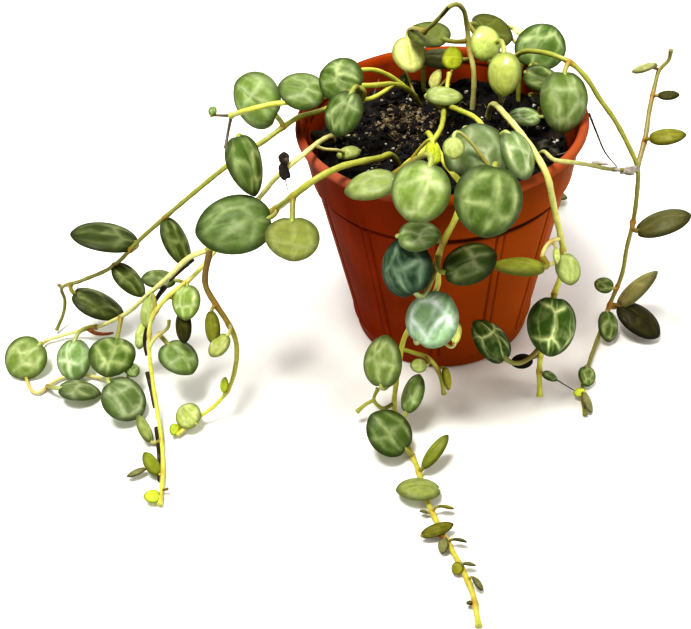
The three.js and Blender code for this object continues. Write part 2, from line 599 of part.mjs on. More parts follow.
// The body's outside is faintly panelled: it stands out a little at each upright seam.
function panelled(geometry) {
  const position = geometry.attributes.position;
  for (let i = 0; i < position.count; i += 1) {
    const x = position.getX(i);
    const y = position.getY(i);
    const z = position.getZ(i);
    const radius = Math.hypot(x, y);
    const outer = THREE.MathUtils.mapLinear(z, FOOT_HEIGHT, COLLAR_LOW, FOOT_RADIUS, BODY_RADIUS_TOP);
    const onBody = z > FOOT_HEIGHT - LEDGE / 2 && z < COLLAR_LOW + LEDGE / 2 && radius > outer - PANEL_RISE;
    if (!onBody) continue;
    const angle = Math.atan2(x, -y) - FIRST_SEAM;
    const seam = Math.cos((PANELS * angle) / 2) ** 2;
    const scale = 1 + (PANEL_RISE * (seam - 1)) / radius;
    position.setXYZ(i, x * scale, y * scale, z);
  }
  return geometry;
}

// The pot stands on a flat pad and a foot ring, between which its drain holes lie.
function potSolid() {
  const outside = [
    [0, 0],
    [CENTRE_PAD_RADIUS, 0],
    [CENTRE_PAD_RADIUS + RECESS_DRAFT, UNDERSIDE_RECESS],
    [FOOT_RING_INNER - RECESS_DRAFT, UNDERSIDE_RECESS],
    [FOOT_RING_INNER, 0],
    [BASE_RADIUS - EDGE_BREAK, 0],
    [BASE_RADIUS, EDGE_BREAK],
    [FOOT_RADIUS, FOOT_HEIGHT],
    [BODY_RADIUS_TOP, COLLAR_LOW],
    [COLLAR_RADIUS_LOW, COLLAR_LOW + LEDGE],
    [COLLAR_RADIUS_TOP, LIP_LOW],
    [RIM_RADIUS - EDGE_BREAK, LIP_LOW + LEDGE],
    [RIM_RADIUS, POT_HEIGHT - LIP_HEIGHT / 2],
    [RIM_RADIUS - EDGE_BREAK, POT_HEIGHT],
  ];
  const inside = [
    [COLLAR_RADIUS_TOP - WALL + LEDGE, POT_HEIGHT],
    [COLLAR_RADIUS_LOW - WALL, COLLAR_LOW + 2 * LEDGE],
    [BODY_INSIDE_TOP, SHOULDER_LOW],
    [BODY_INSIDE_LOW, FOOT_HEIGHT],
    [BASE_RADIUS - WALL, FLOOR],
    [0, FLOOR],
  ];
  let pot = solid(panelled(lathe([...outside, ...inside], POT_SEGMENTS)));
  for (let hole = 0; hole < DRAIN_HOLES; hole += 1) {
    const angle = ((hole + 0.5) / DRAIN_HOLES) * 2 * Math.PI;
    const drill = new THREE.CylinderGeometry(DRAIN_RADIUS, DRAIN_RADIUS, 4 * FLOOR, DRAIN_SIDES);
    drill.rotateX(Math.PI / 2);
    drill.translate(DRAIN_CIRCLE * Math.cos(angle), DRAIN_CIRCLE * Math.sin(angle), 0);
    pot = pot.subtract(solid(drill));
  }
  return pot;
}

// The height of the soil's uneven top: broad swells with finer ones across them.
function soilHeight(x, y) {
  const swell = Math.sin(0.42 * x + 1.3) * Math.cos(0.37 * y - 0.6);
  const ripple = 0.6 * Math.sin(0.9 * x - 0.7 * y) * Math.cos(0.8 * y);
  return SOIL_LEVEL + SOIL_WAVE * (swell + ripple);
}

// The inside of the pot, less a gap all round, filled up to the soil's top, with a few coarse crumbs on it.
function soilSolid() {
  const edge = BODY_INSIDE_TOP - SOIL_GAP;
  const foot = BODY_INSIDE_LOW - SOIL_GAP;
  const profile = [
    [0, FLOOR + SOIL_GAP],
    [foot - FLOOR / 2, FLOOR + SOIL_GAP],
    [foot, FOOT_HEIGHT + SOIL_GAP],
    [edge, SHOULDER_LOW],
    [edge + LEDGE, SOIL_LEVEL - SOIL_EDGE_DROP],
  ];
  for (let ring = SOIL_RINGS; ring > 0; ring -= 1) {
    profile.push([edge * (ring / (SOIL_RINGS + LEDGE)), SOIL_LEVEL]);
  }
  profile.push([0, SOIL_LEVEL]);
  const geometry = lathe(profile, SOIL_SEGMENTS);
  const position = geometry.attributes.position;
  for (let i = 0; i < position.count; i += 1) {
    if (position.getZ(i) < SOIL_LEVEL) continue;
    position.setZ(i, soilHeight(position.getX(i), position.getY(i)));
  }
  let soil = solid(geometry);
  const draw = draws(CRUMB_SEED);
  for (let crumb = 0; crumb < CRUMBS; crumb += 1) {
    const angle = draw() * 2 * Math.PI;
    const distance = (edge - CRUMB_MARGIN) * Math.sqrt(draw());
    const size = CRUMB_SMALLEST + CRUMB_RANGE * draw() ** 2;
    const x = distance * Math.cos(angle);
    const y = distance * Math.sin(angle);
    const lump = new THREE.IcosahedronGeometry(size, 0).rotateX(draw() * Math.PI).rotateZ(draw() * Math.PI);
    lump.scale(1, 0.7 + 0.3 * draw(), 0.6 + 0.3 * draw());
    lump.translate(x, y, soilHeight(x, y));
    soil = soil.add(solid(lump));
  }
  return soil;
}

// A plain hole for each stem that stands in the soil, wide enough to clear it.
function bored(soil, strands) {
  let result = soil;
  for (const { stems } of Object.values(strands)) {
    for (const { thick, points, rooted: inSoil } of stems) {
      if (!inSoil) continue;
      const [x, y] = points[0];
      const radius = (thick / 2 + BORE_CLEARANCE) / Math.cos(Math.PI / BORE_SIDES);
      const depth = ROOT_DEPTH + BORE_HEADROOM;
      const drill = new THREE.CylinderGeometry(radius, radius, depth, BORE_SIDES).rotateX(Math.PI / 2);
      drill.translate(x, y, SOIL_LEVEL - ROOT_DEPTH - BORE_CLEARANCE + depth / 2);
      result = result.subtract(solid(drill));
    }
  }
  return result;
}

function piece(name, body, finish) {
  const material = new THREE.MeshStandardMaterial({ ...finish, metalness: 0 });
  const mesh = new THREE.Mesh(geometryOf(body), material);
  mesh.name = name;
  return mesh;
}

const plant = new THREE.Group();
plant.add(piece('pot', potSolid(), POT_FINISH));
plant.add(piece('soil', largest('soil', bored(soilSolid(), STRANDS)), SOIL_FINISH));
for (const [name, strand] of Object.entries(STRANDS)) {
  plant.add(piece(name, strandSolid(name, strand), PLANT_FINISH));
}

export default plant;
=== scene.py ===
"""A potted string of turtles, dressed: a small terracotta-coloured nursery pot of damp peat mix, and the
creeping stems that hang over its rim and run on along the surface, with thick round leaves marked like a
turtle's shell.

Sizes are in millimetres. Blender's metres come from them in the last step of each shape.
"""

import logging
import math
import random
from collections.abc import Callable, Iterable, Sequence
from dataclasses import dataclass
from enum import Enum
from functools import partial

import bmesh
import bpy
from mathutils import Matrix, Vector, noise

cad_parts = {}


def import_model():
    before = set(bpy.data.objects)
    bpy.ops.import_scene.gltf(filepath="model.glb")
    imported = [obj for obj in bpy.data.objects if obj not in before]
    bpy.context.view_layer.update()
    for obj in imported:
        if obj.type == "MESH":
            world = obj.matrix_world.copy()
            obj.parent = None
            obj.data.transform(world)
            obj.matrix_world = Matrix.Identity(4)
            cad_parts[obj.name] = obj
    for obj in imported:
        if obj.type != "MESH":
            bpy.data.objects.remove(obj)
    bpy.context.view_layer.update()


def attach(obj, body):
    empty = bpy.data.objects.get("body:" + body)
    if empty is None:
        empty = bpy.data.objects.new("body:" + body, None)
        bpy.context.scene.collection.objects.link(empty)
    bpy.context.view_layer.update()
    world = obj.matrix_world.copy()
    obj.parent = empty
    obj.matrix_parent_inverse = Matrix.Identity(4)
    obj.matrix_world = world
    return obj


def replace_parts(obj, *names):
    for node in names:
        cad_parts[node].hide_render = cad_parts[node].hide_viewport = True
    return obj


log = logging.getLogger("string_of_turtles")

MM = 0.001
BODY = "root"
FIRST_SEED = 100
SMOOTH_ANGLE = 50

# The Mix node's two colour inputs go by number, because its other inputs have the same names.
MIX_A = 6
MIX_B = 7

# The long veins of a leaf lie on ellipses. This is the square of where they close, beyond the blade's ends.
VEIN_ARCH = 1.15

Point = tuple[float, ...]
Pair = tuple[float, float]
Colour = tuple[float, ...]
Material = bpy.types.Material
Mesh = bpy.types.Mesh
Node = bpy.types.Node
Object = bpy.types.Object
Socket = bpy.types.NodeSocket
Tree = bpy.types.NodeTree


def linear(hex_colour: str) -> tuple[float, float, float, float]:
    """Turn an sRGB hex colour into linear red, green, blue and full alpha.

    Args:
        hex_colour: six hex digits after a hash sign.

    Returns:
        The four channels that Blender's sockets and attributes take.
    """
    channels = (int(hex_colour[i:i + 2], 16) / 255 for i in (1, 3, 5))
    red, green, blue = (c / 12.92 if c <= 0.04045 else ((c + 0.055) / 1.055) ** 2.4 for c in channels)
    return red, green, blue, 1.0


def per_mm(size: float) -> float:
    """The scale of a texture whose features are so many millimetres across."""
    return 1 / (size * MM)


def smooth_step(low: float, high: float, value: float) -> float:
    """A soft step from 0 at low to 1 at high."""
    share = min(1.0, max(0.0, (value - low) / (high - low)))
    return share * share * (3 - 2 * share)


def bell(distance: float, width: float) -> float:
    """How near something is: 1 in the middle, and next to nothing at twice its width."""
    return math.exp(-((distance / width) ** 2))


def feed(tree: Tree, node: Node, inputs: dict) -> None:
    """Link or set the inputs of a node.

    Args:
        tree: the node tree of the material.
        node: the node that takes them.
        inputs: for each input's name or number, the node or socket that feeds it, or the value that it
            holds. A node feeds with the first of its outputs that is in use.
    """
    for key, value in inputs.items():
        if isinstance(value, Node):
            value = next(output for output in value.outputs if output.enabled)
        if isinstance(value, Socket):
            tree.links.new(value, node.inputs[key])
        else:
            node.inputs[key].default_value = value


def add_node(tree: Tree, kind: str, inputs: dict | None = None, **settings: object) -> Node:
    """Add a shader node with its settings and links.

    Args:
        tree: the node tree of the material.
        kind: the node's type name, without the start that all shader nodes share.
        inputs: what its inputs take, as feed is told it.
        settings: the node's own properties.

    Returns:
        The new node.
    """
    node = tree.nodes.new("ShaderNode" + kind)
    for name, value in settings.items():
        setattr(node, name, value)
    feed(tree, node, inputs or {})
    return node


def new_material(name: str) -> tuple[Material, Tree, Node]:
    """Make an empty material with one Principled surface.

    Args:
        name: what the real material is.

    Returns:
        The material, its node tree and the surface node.
    """
    material = bpy.data.materials.new(name)
    material.use_nodes = True
    tree = material.node_tree
    tree.nodes.clear()
    surface = add_node(tree, "BsdfPrincipled")
    add_node(tree, "OutputMaterial", {"Surface": surface})
    return material, tree, surface


class Tone(Enum):
    """How old and how well lit a leaf has grown: the colours of its cells, its veins and its underside."""

    DARK = ("#404d16", "#a2b07a", "#8a9242", 0.7)
    VEINED = ("#3c5514", "#ccd69c", "#858c48", 1.15)
    MATURE = ("#536b2a", "#bcca94", "#98a452", 0.8)
    SAGE = ("#667c3a", "#b6c28a", "#8e9a4c", 0.75)
    BLUISH = ("#34583a", "#b8d2ae", "#8aa370", 1.0)
    SILVER = ("#71874e", "#d0dcb4", "#a8ba78", 0.85)
    FROSTED = ("#92ae82", "#f2faf4", "#b4c690", 0.95)
    FRESH = ("#788e44", "#ccd8a6", "#a8b662", 0.75)
    PALE = ("#a5b262", "#dde4b2", "#bac67c", 0.5)
    CREAMY = ("#cdd07a", "#eff0b8", "#dadc98", 0.5)
    GLASSY = ("#b0be66", "#dce4ac", "#b8c070", 0.12)
    LIME = ("#bccb38", "#e0ea8c", "#c8d258", 0.3)
    MOSSY = ("#727a2c", "#9ca454", "#747c34", 0.5)
    GOLDEN = ("#848626", "#aeb052", "#807a34", 0.4)
    KHAKI = ("#56562c", "#98986a", "#767648", 0.5)
    OLIVE = ("#7c7c4e", "#acaa78", "#868658", 0.45)
    BRONZE = ("#302e0a", "#5c5a24", "#444216", 0.4)

    def __init__(self, cell: str, vein: str, under: str, marking: float) -> None:
        """Keep what the tone is made of.

        Args:
            cell: the colour of the fields between the veins.
            vein: the colour of the veins.
            under: the colour of the underside.
            marking: how strongly the veins stand out. Beyond 1 they are crisp too.
        """
        self.cell = cell
        self.vein = vein
        self.under = under
        self.marking = marking


class Stalk(Enum):
    """The colour that a stretch of stem has ripened or dried to."""

    YELLOW = "#bfba50"
    LIME = "#cfd15c"
    GREEN = "#a8ab4a"
    CREAM = "#dedc94"
    STRAW = "#bfae62"
    OLIVE = "#85843c"
    PARCHED = "#948858"
    BROWN = "#7a6432"
    DRY = "#5d5446"


@dataclass(frozen=True)
class Leaf:
    """A leaf: the middle of its blade, its size, the way it lies, its tone, and how it has grown.

    Its upper side faces round, in degrees from the front towards the right, and up, in degrees from level.
    Its tip is turned so far from downhill. It may be plump, taper more towards its tip than others, be
    lighter or darker than its tone, and be more or less strongly marked. How much lighter or darker is
    partly its own colour and partly painted light and shade for where it lies among the others.
    """

    centre: Point
    length: float
    width: float
    round: float
    up: float
    turn: float
    tone: Tone
    plump: float = 1.0
    taper: float = 0.06
    shade: float = 1.0
    marked: float = 1.0


def leaf(x: float, y: float, z: float, length: float, width: float, round: float, up: float, turn: float,
         tone: Tone, **grown: float) -> Leaf:
    """A leaf, with the middle of its blade as three numbers."""
    return Leaf((x, y, z), length, width, round, up, turn, tone, **grown)


@dataclass(frozen=True)
class Stem:
    """A stem: its thickness and colour where it starts and where it ends, and the points it grows through."""

    thick: float
    thin: float
    tones: tuple[Stalk, Stalk]
    points: tuple[Point, ...]
    in_soil: bool


def stem(thick: float, thin: float, tones: tuple[Stalk, Stalk], *points: Point) -> Stem:
    """A side stem, which starts inside an earlier one."""
    return Stem(thick, thin, tones, points, False)


def rooted(thick: float, thin: float, tones: tuple[Stalk, Stalk], *points: Point) -> Stem:
    """A stem that starts in the soil, at its first point."""
    return Stem(thick, thin, tones, points, True)


@dataclass(frozen=True)
class Strand:
    """All the stems and leaves of one plant.

    slender thins its stems, and ripened says how warm its joints have turned.
    """

    name: str
    stems: tuple[Stem, ...]
    leaves: tuple[Leaf, ...]
    slender: float = 0.88
    ripened: float = 0.55


# The longest strand on the left goes over the rim and arches out and down.
STRAND_LEFT_LONG = Strand(
    name="strand_left_long",
    stems=(
        rooted(1.4, 1, (Stalk.GREEN, Stalk.OLIVE), (-21, 14.5), (-24, 6, 57), (-27, -2, 60.5),
            (-31, -6, 61.5), (-38, -11, 59), (-46, -14, 55), (-54, -15, 49), (-63, -14, 41),
            (-70.5, -13, 34), (-79.5, -12, 25), (-90, -9, 18), (-97.5, -5.5, 12.5), (-98, -5, 8),
            (-99, -6, 4.5), (-101, -9, 1)),
        stem(1, 0.9, (Stalk.OLIVE, Stalk.BROWN), (-97, -6, 12.5), (-98.5, -4.5, 12.8)),
    ),
    leaves=(
        leaf(-40.2, -5, 65.5, 13, 11.8, -30, 25, -110, Tone.FRESH, shade=0.95),
        leaf(-40.6, -18.7, 58, 13, 9.8, 62, 28, -19, Tone.MATURE, taper=0.2),
        leaf(-60.1, -17.1, 36.5, 12, 7.5, 74, 33, -21, Tone.DARK, shade=1.2),
        leaf(-79.9, -9.8, 33, 15.6, 11.4, 101, 71, 179, Tone.DARK, shade=0.8),
        leaf(-75.1, -14.2, 22.8, 10.2, 6.6, 73, 46, -7, Tone.DARK, shade=1.15),
        leaf(-87.1, -9.2, 11, 13.6, 10, 96, 59, -8, Tone.DARK, shade=0.85),
    ),
)

# The thickest stem on the left forks into a cream branch that runs along the surface and a thin brown loop.
STRAND_LEFT_THICK = Strand(
    name="strand_left_thick",
    stems=(
        rooted(1.7, 1.5, (Stalk.GREEN, Stalk.GREEN), (-9.2, -9.5), (-10.6, -13.5, 56.2),
            (-12.8, -18.6, 58.8), (-15.3, -22.4, 60.8), (-20.5, -25.4, 61.3),
            (-25.7, -29, 60.5), (-30, -29, 57), (-35.8, -23, 49.1), (-43.5, -24, 45), (-52, -22.5, 38)),
        stem(1.5, 1, (Stalk.CREAM, Stalk.CREAM), (-52, -22.5, 38), (-56.5, -22.5, 36), (-62.5, -22, 30),
            (-70, -19.5, 22), (-78, -16, 13), (-87.5, -13, 6), (-96, -11, 2), (-102.5, -13, 1.2)),
        stem(1, 0.9, (Stalk.STRAW, Stalk.CREAM), (-102.5, -13, 1.2), (-105, -20, 1.5), (-103, -28, 1),
            (-99.5, -31.5, 0.9), (-95, -26.5, 0.9), (-89, -25.5, 0.9), (-82, -27.5, 1.2),
            (-76.2, -30, 1.5)),
        stem(1.7, 0.9, (Stalk.BROWN, Stalk.LIME), (-51.5, -22.5, 38), (-53, -26.5, 31.5), (-51, -29, 28),
            (-48.7, -30.5, 24), (-47, -32, 19), (-47.3, -34.3, 14), (-49.2, -37.5, 9), (-53, -39.5, 5),
            (-57.5, -41.5, 2.5), (-61.5, -45, 1)),
    ),
    leaves=(
        leaf(-43.5, -28.1, 49.5, 16.2, 13.3, 11, 58, -87, Tone.SAGE, shade=0.72),
        leaf(-29.7, -38.6, 52.8, 11.4, 10.8, -136, -75, 38, Tone.SAGE, shade=0.7),
        leaf(-104, -23.5, 5, 11, 10.6, 2, 44, -47, Tone.FRESH, shade=1.05),
        leaf(-91.5, -24, 5, 10.4, 10, -21, 44, 15, Tone.SILVER, shade=1.25),
        leaf(-79.5, -27, 10, 12.2, 11, 70, 75, -70, Tone.MATURE, shade=1.05),
        leaf(-88, -32, 3, 10, 8.2, 132, 70, -35, Tone.SILVER, shade=0.7),
        leaf(-74.5, -38, 6, 11, 10.6, 60, 50, 0, Tone.SILVER, shade=0.85),
        leaf(-74.5, -29.5, 7, 4, 3.5, 51, 70, -14, Tone.FRESH, shade=0.9),
        leaf(-51.5, -34, 25, 7.5, 4.5, -38, 32, 28, Tone.GOLDEN, shade=0.75),
        leaf(-49.5, -37.5, 23, 6, 5, -43, 63, 0, Tone.PALE, shade=0.8),
        leaf(-50, -38.5, 11, 3.8, 2.6, -41, 29, -173, Tone.LIME, shade=0.8),
        leaf(-59.4, -41, 3.6, 7.2, 6.2, -42, 66, -95, Tone.PALE),
        leaf(-62, -44, 2, 3.4, 2.6, 84, 50, -97, Tone.LIME),
    ),
)

# The thin yellow strand crosses under the fork and runs forward along the surface to its lime young tip.
STRAND_LEFT_THIN = Strand(
    name="strand_left_thin",
    stems=(
        rooted(1.3, 1.1, (Stalk.CREAM, Stalk.LIME), (-22, 3.5), (-24, -4, 55.5), (-26, -14, 60),
            (-28.5, -20, 61), (-31.5, -21, 59), (-34.5, -20.5, 56), (-40.5, -17.6, 47.5),
            (-47, -15.4, 39.4), (-52.3, -17, 33.1), (-57, -22, 29.8), (-62.5, -25.5, 27), (-67, -27.5, 22),
            (-68.5, -30, 15.5), (-68, -35, 8), (-66.5, -41, 3), (-64.5, -48, 1), (-62.5, -57, 0.9),
            (-61.5, -65, 0.9)),
        stem(1, 0.8, (Stalk.CREAM, Stalk.OLIVE), (-68.5, -30, 15), (-66.8, -29.5, 17.5), (-63.8, -27.5, 19),
            (-63.4, -26.5, 20.5)),
        rooted(1, 0.8, (Stalk.CREAM, Stalk.CREAM), (-20.5, -5.5), (-22, -11, 56), (-25, -14.5, 58.8),
            (-26.3, -15.5, 60.3)),
        stem(0.7, 0.6, (Stalk.BROWN, Stalk.BROWN), (-61.8, -61, 0.9), (-60.3, -61.3, 1.8)),
    ),
    leaves=(
        leaf(-67, -16.5, 25, 8, 6, 72, 72, -150, Tone.FRESH, shade=0.55),
        leaf(-58.5, -27, 26.5, 8.2, 7.4, -21, 40, 7, Tone.FRESH, shade=1.15),
        leaf(-60, -28.5, 20.5, 8, 5.4, -42, 30, 22, Tone.BRONZE, shade=1.3),
        leaf(-61.3, -31.5, 13.5, 10, 9, 66, 68, -20, Tone.FRESH, shade=0.85),
        leaf(-69.2, -23.9, 21, 7.6, 5, -42, 42, 20, Tone.PALE, shade=0.9),
        leaf(-72.6, -23, 13, 7.5, 5, -57, 42, 28, Tone.PALE, shade=1.2),
        leaf(-68.5, -45, 3, 7, 4.5, 96, 30, 138, Tone.PALE, shade=0.85),
        leaf(-64.8, -55, 2.4, 6, 4.5, 93, 40, 144, Tone.LIME, shade=0.5),
        leaf(-68.5, -56.5, 1.8, 4.5, 2, -132, 80, 71, Tone.OLIVE),
        leaf(-63.3, -63.4, 2, 3.6, 3.2, 62, 70, -143, Tone.LIME),
        leaf(-26, -4.4, 55.4, 5.8, 4.6, 47, 68, -149, Tone.BRONZE, shade=0.6),
        leaf(-20.2, -8.4, 54, 5.4, 4.2, -27, 80, -54, Tone.PALE),
    ),
)

# A spray over the left rim: three broad leaves, and a stem that ends in two thin twigs.
SPRAY_LEFT = Strand(
    name="spray_left",
    stems=(
        rooted(1.4, 1.3, (Stalk.GREEN, Stalk.LIME), (-5, 17), (-7.5, 12, 57.5), (-10.5, 6.5, 62),
            (-14.5, 0, 65.5), (-18, -3, 67), (-23, -6, 67), (-30, -8.5, 67), (-35.5, -9.5, 67),
            (-41, -10, 66), (-46, -4.5, 61.5)),
        stem(0.8, 0.6, (Stalk.DRY, Stalk.DRY), (-46, -4.5, 61.5), (-48.5, -3.5, 61), (-51, -3, 61)),
        stem(0.8, 0.7, (Stalk.DRY, Stalk.DRY), (-46, -4.5, 61.5), (-47, -7, 58), (-47.3, -9.5, 56.3)),
        stem(1.3, 1.1, (Stalk.LIME, Stalk.LIME), (-7.5, 12, 57.5), (-11, 9, 62.5), (-14.5, 5, 66.5),
            (-18, 0.5, 69)),
        stem(1.2, 1.1, (Stalk.LIME, Stalk.LIME), (-10.5, 6.5, 62), (-12.5, 1.5, 63), (-15, -3, 64),
            (-17, -6, 65.5)),
    ),
    leaves=(
        leaf(-21, -7, 71, 10, 9.5, -21, 40, -99, Tone.MATURE),
        leaf(-29.2, -7, 69, 10, 9, 16, 60, -113, Tone.FRESH, shade=0.75),
        leaf(-20, -16, 68.5, 9.5, 8.5, -28, 44, -2, Tone.MATURE, shade=0.8),
        leaf(-50.2, -3.2, 62, 2.6, 2, 61, 35, 108, Tone.FRESH),
        leaf(-8, 19.5, 55.5, 4, 3.2, 50, 40, -29, Tone.DARK),
    ),
)

# The front plant: one junction just above the soil feeds the leaves that spill over the front rim.
CLUSTER_FRONT = Strand(
    name="cluster_front",
    stems=(
        rooted(1.7, 1.5, (Stalk.GREEN, Stalk.GREEN), (1, 11), (1, 8, 55.5)),
        stem(1.3, 1, (Stalk.LIME, Stalk.LIME), (1, 8, 55.5), (1.4, 9.5, 57.5), (1.8, 12, 59.3),
            (2.2, 14, 60.2)),
        stem(1.5, 1.2, (Stalk.GREEN, Stalk.LIME), (1, 8, 55.5), (4.5, -1.5, 59.5), (7.5, -8, 61.5),
            (10, -17, 63)),
        stem(1.5, 1.2, (Stalk.GREEN, Stalk.LIME), (1, 8, 55.5), (0, -9, 59.5), (-3, -19.5, 61.5),
            (-7, -26, 62), (-9.5, -30, 62)),
        stem(1.2, 1, (Stalk.GREEN, Stalk.GREEN), (10, -17, 63), (11, -28, 62.5), (10.5, -35, 62.5)),
    ),
    leaves=(
        leaf(7, -27.3, 65.7, 13.8, 12.6, -17, 64, 39, Tone.SILVER, shade=0.68),
        leaf(15.5, -27.4, 65, 10, 8, 50, 42, -11, Tone.SILVER),
        leaf(9.1, -43.8, 65.7, 13.2, 13.2, 20, 36, -22, Tone.MATURE, shade=0.95),
        leaf(-4, -41, 66, 11.5, 11.8, -24, 36, -8, Tone.FRESH),
        leaf(-13.5, -35, 64, 10.5, 8, -42, 76, -44, Tone.PALE, shade=0.65),
        leaf(2.5, -32.5, 70, 4.4, 4.2, 0, 50, 0, Tone.PALE),
        leaf(-1.2, -29.5, 67, 4.8, 4, 62, 42, -51, Tone.LIME),
        leaf(3, 15, 63.5, 5.2, 5, 18, 30, 170, Tone.LIME),
        leaf(-1.3, 16.5, 57.5, 4.8, 4, -58, 34, -169, Tone.CREAMY),
        leaf(0.9, 6.1, 59.4, 8.4, 6, 30, 76, 59, Tone.PALE, shade=0.85),
    ),
)

# The strand that hangs down the front of the pot and runs on towards the viewer.
STRAND_FRONT = Strand(
    name="strand_front",
    stems=(
        rooted(1.5, 1.3, (Stalk.LIME, Stalk.YELLOW), (-3, 3), (-2, -8, 57), (1, -26, 62),
            (4.3, -34.3, 61.4), (3.2, -36.4, 57.2), (0.6, -36.3, 50.5), (-0.8, -35.6, 44.5),
            (-0.7, -35.2, 38), (-4.5, -34.7, 29), (-8, -35, 23), (-9.2, -36.4, 18), (-10.3, -37.5, 11),
            (-10.8, -40, 4), (-7.7, -48, 1.2), (-5.5, -54, 1), (-3.3, -63, 0.9), (-0.7, -69.5, 0.9),
            (1.7, -75, 0.9), (3.5, -79, 0.9), (5.7, -85, 0.9), (6.8, -92.5, 0.8)),
        stem(1.2, 1.1, (Stalk.GREEN, Stalk.GREEN), (-8.8, -35.5, 20), (-6, -36.5, 19.3), (-3, -36.7, 18),
            (-0.4, -37, 13), (0.5, -38.3, 8)),
        stem(1.1, 0.9, (Stalk.OLIVE, Stalk.GREEN), (-10.8, -39, 5.5), (-13.5, -40.5, 5.5),
            (-15.5, -39.3, 7), (-14.5, -38, 9.5)),
        stem(1, 1, (Stalk.GREEN, Stalk.GREEN), (-15.5, -39.3, 7), (-17.5, -39.3, 5.5), (-19.5, -40, 3.8)),
    ),
    leaves=(
        leaf(-4.4, -38.4, 54, 8.4, 7.6, -18, 74, 103, Tone.SILVER, shade=1.2),
        leaf(-7.3, -41.5, 48, 11.7, 11.1, -32, 40, -137, Tone.BLUISH, shade=0.5),
        leaf(5.4, -40, 48, 11, 9.5, -36, 66, 139, Tone.MATURE, shade=0.5, marked=1.2),
        leaf(-2.2, -40.5, 33, 12, 11.5, -24, 40, 164, Tone.FROSTED, shade=1.45),
        # Painted light: this small leaf lies in the shadow of the frosted leaf and is painted much lighter.
        leaf(3, -40, 28.5, 4.6, 2.6, -60, 44, -143, Tone.CREAMY, shade=2.2),
        leaf(-13.2, -40, 20, 11.4, 9.6, -35, 39, -162, Tone.FRESH, shade=0.75),
        leaf(-5, -40, 19, 3.6, 3.4, 3, 65, -92, Tone.PALE),
        leaf(-6.9, -40.5, 10.5, 9, 6.2, -59, 44, -156, Tone.FRESH, shade=0.85),
        leaf(1.4, -38.2, 13, 5.2, 3, 71, 29, -38, Tone.GOLDEN, shade=1.4),
        leaf(-11.4, -49, 7, 11, 10, 36, 54, -162, Tone.MATURE, shade=0.85),
        leaf(-1.9, -52.6, 5, 9, 3.8, -76, 55, -154, Tone.MOSSY, shade=1.15, marked=0.3),
        leaf(-5, -61, 3, 9.4, 7.4, 163, 75, 113, Tone.PALE, shade=0.72, marked=0.4),
        leaf(-3.9, -66.2, 1.6, 1.8, 1.6, 165, 45, 104, Tone.OLIVE),
        leaf(0.8, -65.4, 2.2, 3.4, 1.8, 165, 45, -69, Tone.GOLDEN),
        leaf(-1.1, -71.8, 2.8, 7, 2.6, 10, 60, 102, Tone.GOLDEN, shade=0.7),
        leaf(0, -75, 1.8, 3.2, 2.6, -60, 45, 38, Tone.OLIVE),
        leaf(3.5, -73.7, 2.2, 3, 1.4, 165, 45, -78, Tone.KHAKI),
        leaf(5.3, -79.4, 2.2, 2.7, 1.6, 165, 45, -69, Tone.OLIVE, shade=0.8),
        leaf(2.8, -80.4, 1.8, 2.6, 2.4, -30, 50, -14, Tone.GOLDEN),
        leaf(7, -83.6, 1.8, 3.2, 2, 100, 50, -53, Tone.OLIVE, shade=0.75),
        leaf(5.2, -87.7, 1.4, 1.6, 1.2, 165, 50, 156, Tone.KHAKI),
    ),
)

# The thick yellow-green strand on the front right hangs beside the pot and ends in a cut stub.
STRAND_FRONT_RIGHT = Strand(
    name="strand_front_right",
    stems=(
        rooted(1.6, 1.4, (Stalk.CREAM, Stalk.LIME), (11, 9.5), (11.7, 5, 57), (14.4, -9, 61.8),
            (17, -18.5, 63), (19, -24, 62.5), (21, -27.5, 60), (23, -27, 52), (25.2, -26, 43),
            (26, -25.5, 39), (26, -26, 33), (24.6, -26.5, 26), (23.6, -27.5, 17), (22.7, -28.5, 9),
            (22.8, -32.5, 1.2)),
        stem(1.1, 1, (Stalk.CREAM, Stalk.CREAM), (25.2, -26, 43), (22.5, -28, 43), (21.2, -29.5, 41),
            (22.4, -29.5, 38.5), (25.5, -26, 37)),
    ),
    leaves=(
        leaf(27, -29.5, 37.5, 7, 6, 40, 51, -24, Tone.PALE, shade=0.9),
        leaf(24.2, -30.2, 41.5, 3.6, 2.4, 61, 27, -40, Tone.PALE, shade=1.3),
        leaf(16.1, -33.5, 42.1, 10.8, 7, 174, 80, 90, Tone.MOSSY, shade=1.4),
        leaf(24.5, -33, 24, 12.8, 11.8, 29, 39, -25, Tone.VEINED, shade=1.22),
        leaf(11.3, -33, 20, 11, 9, 58, 55, 172, Tone.VEINED, shade=1.08),
        leaf(18.4, -30.5, 11, 5.2, 4, 35, 80, -100, Tone.BRONZE, shade=0.35),
        leaf(25, -31, 6.5, 3.8, 3, 86, 72, -15, Tone.MATURE, shade=1.15),
    ),
)

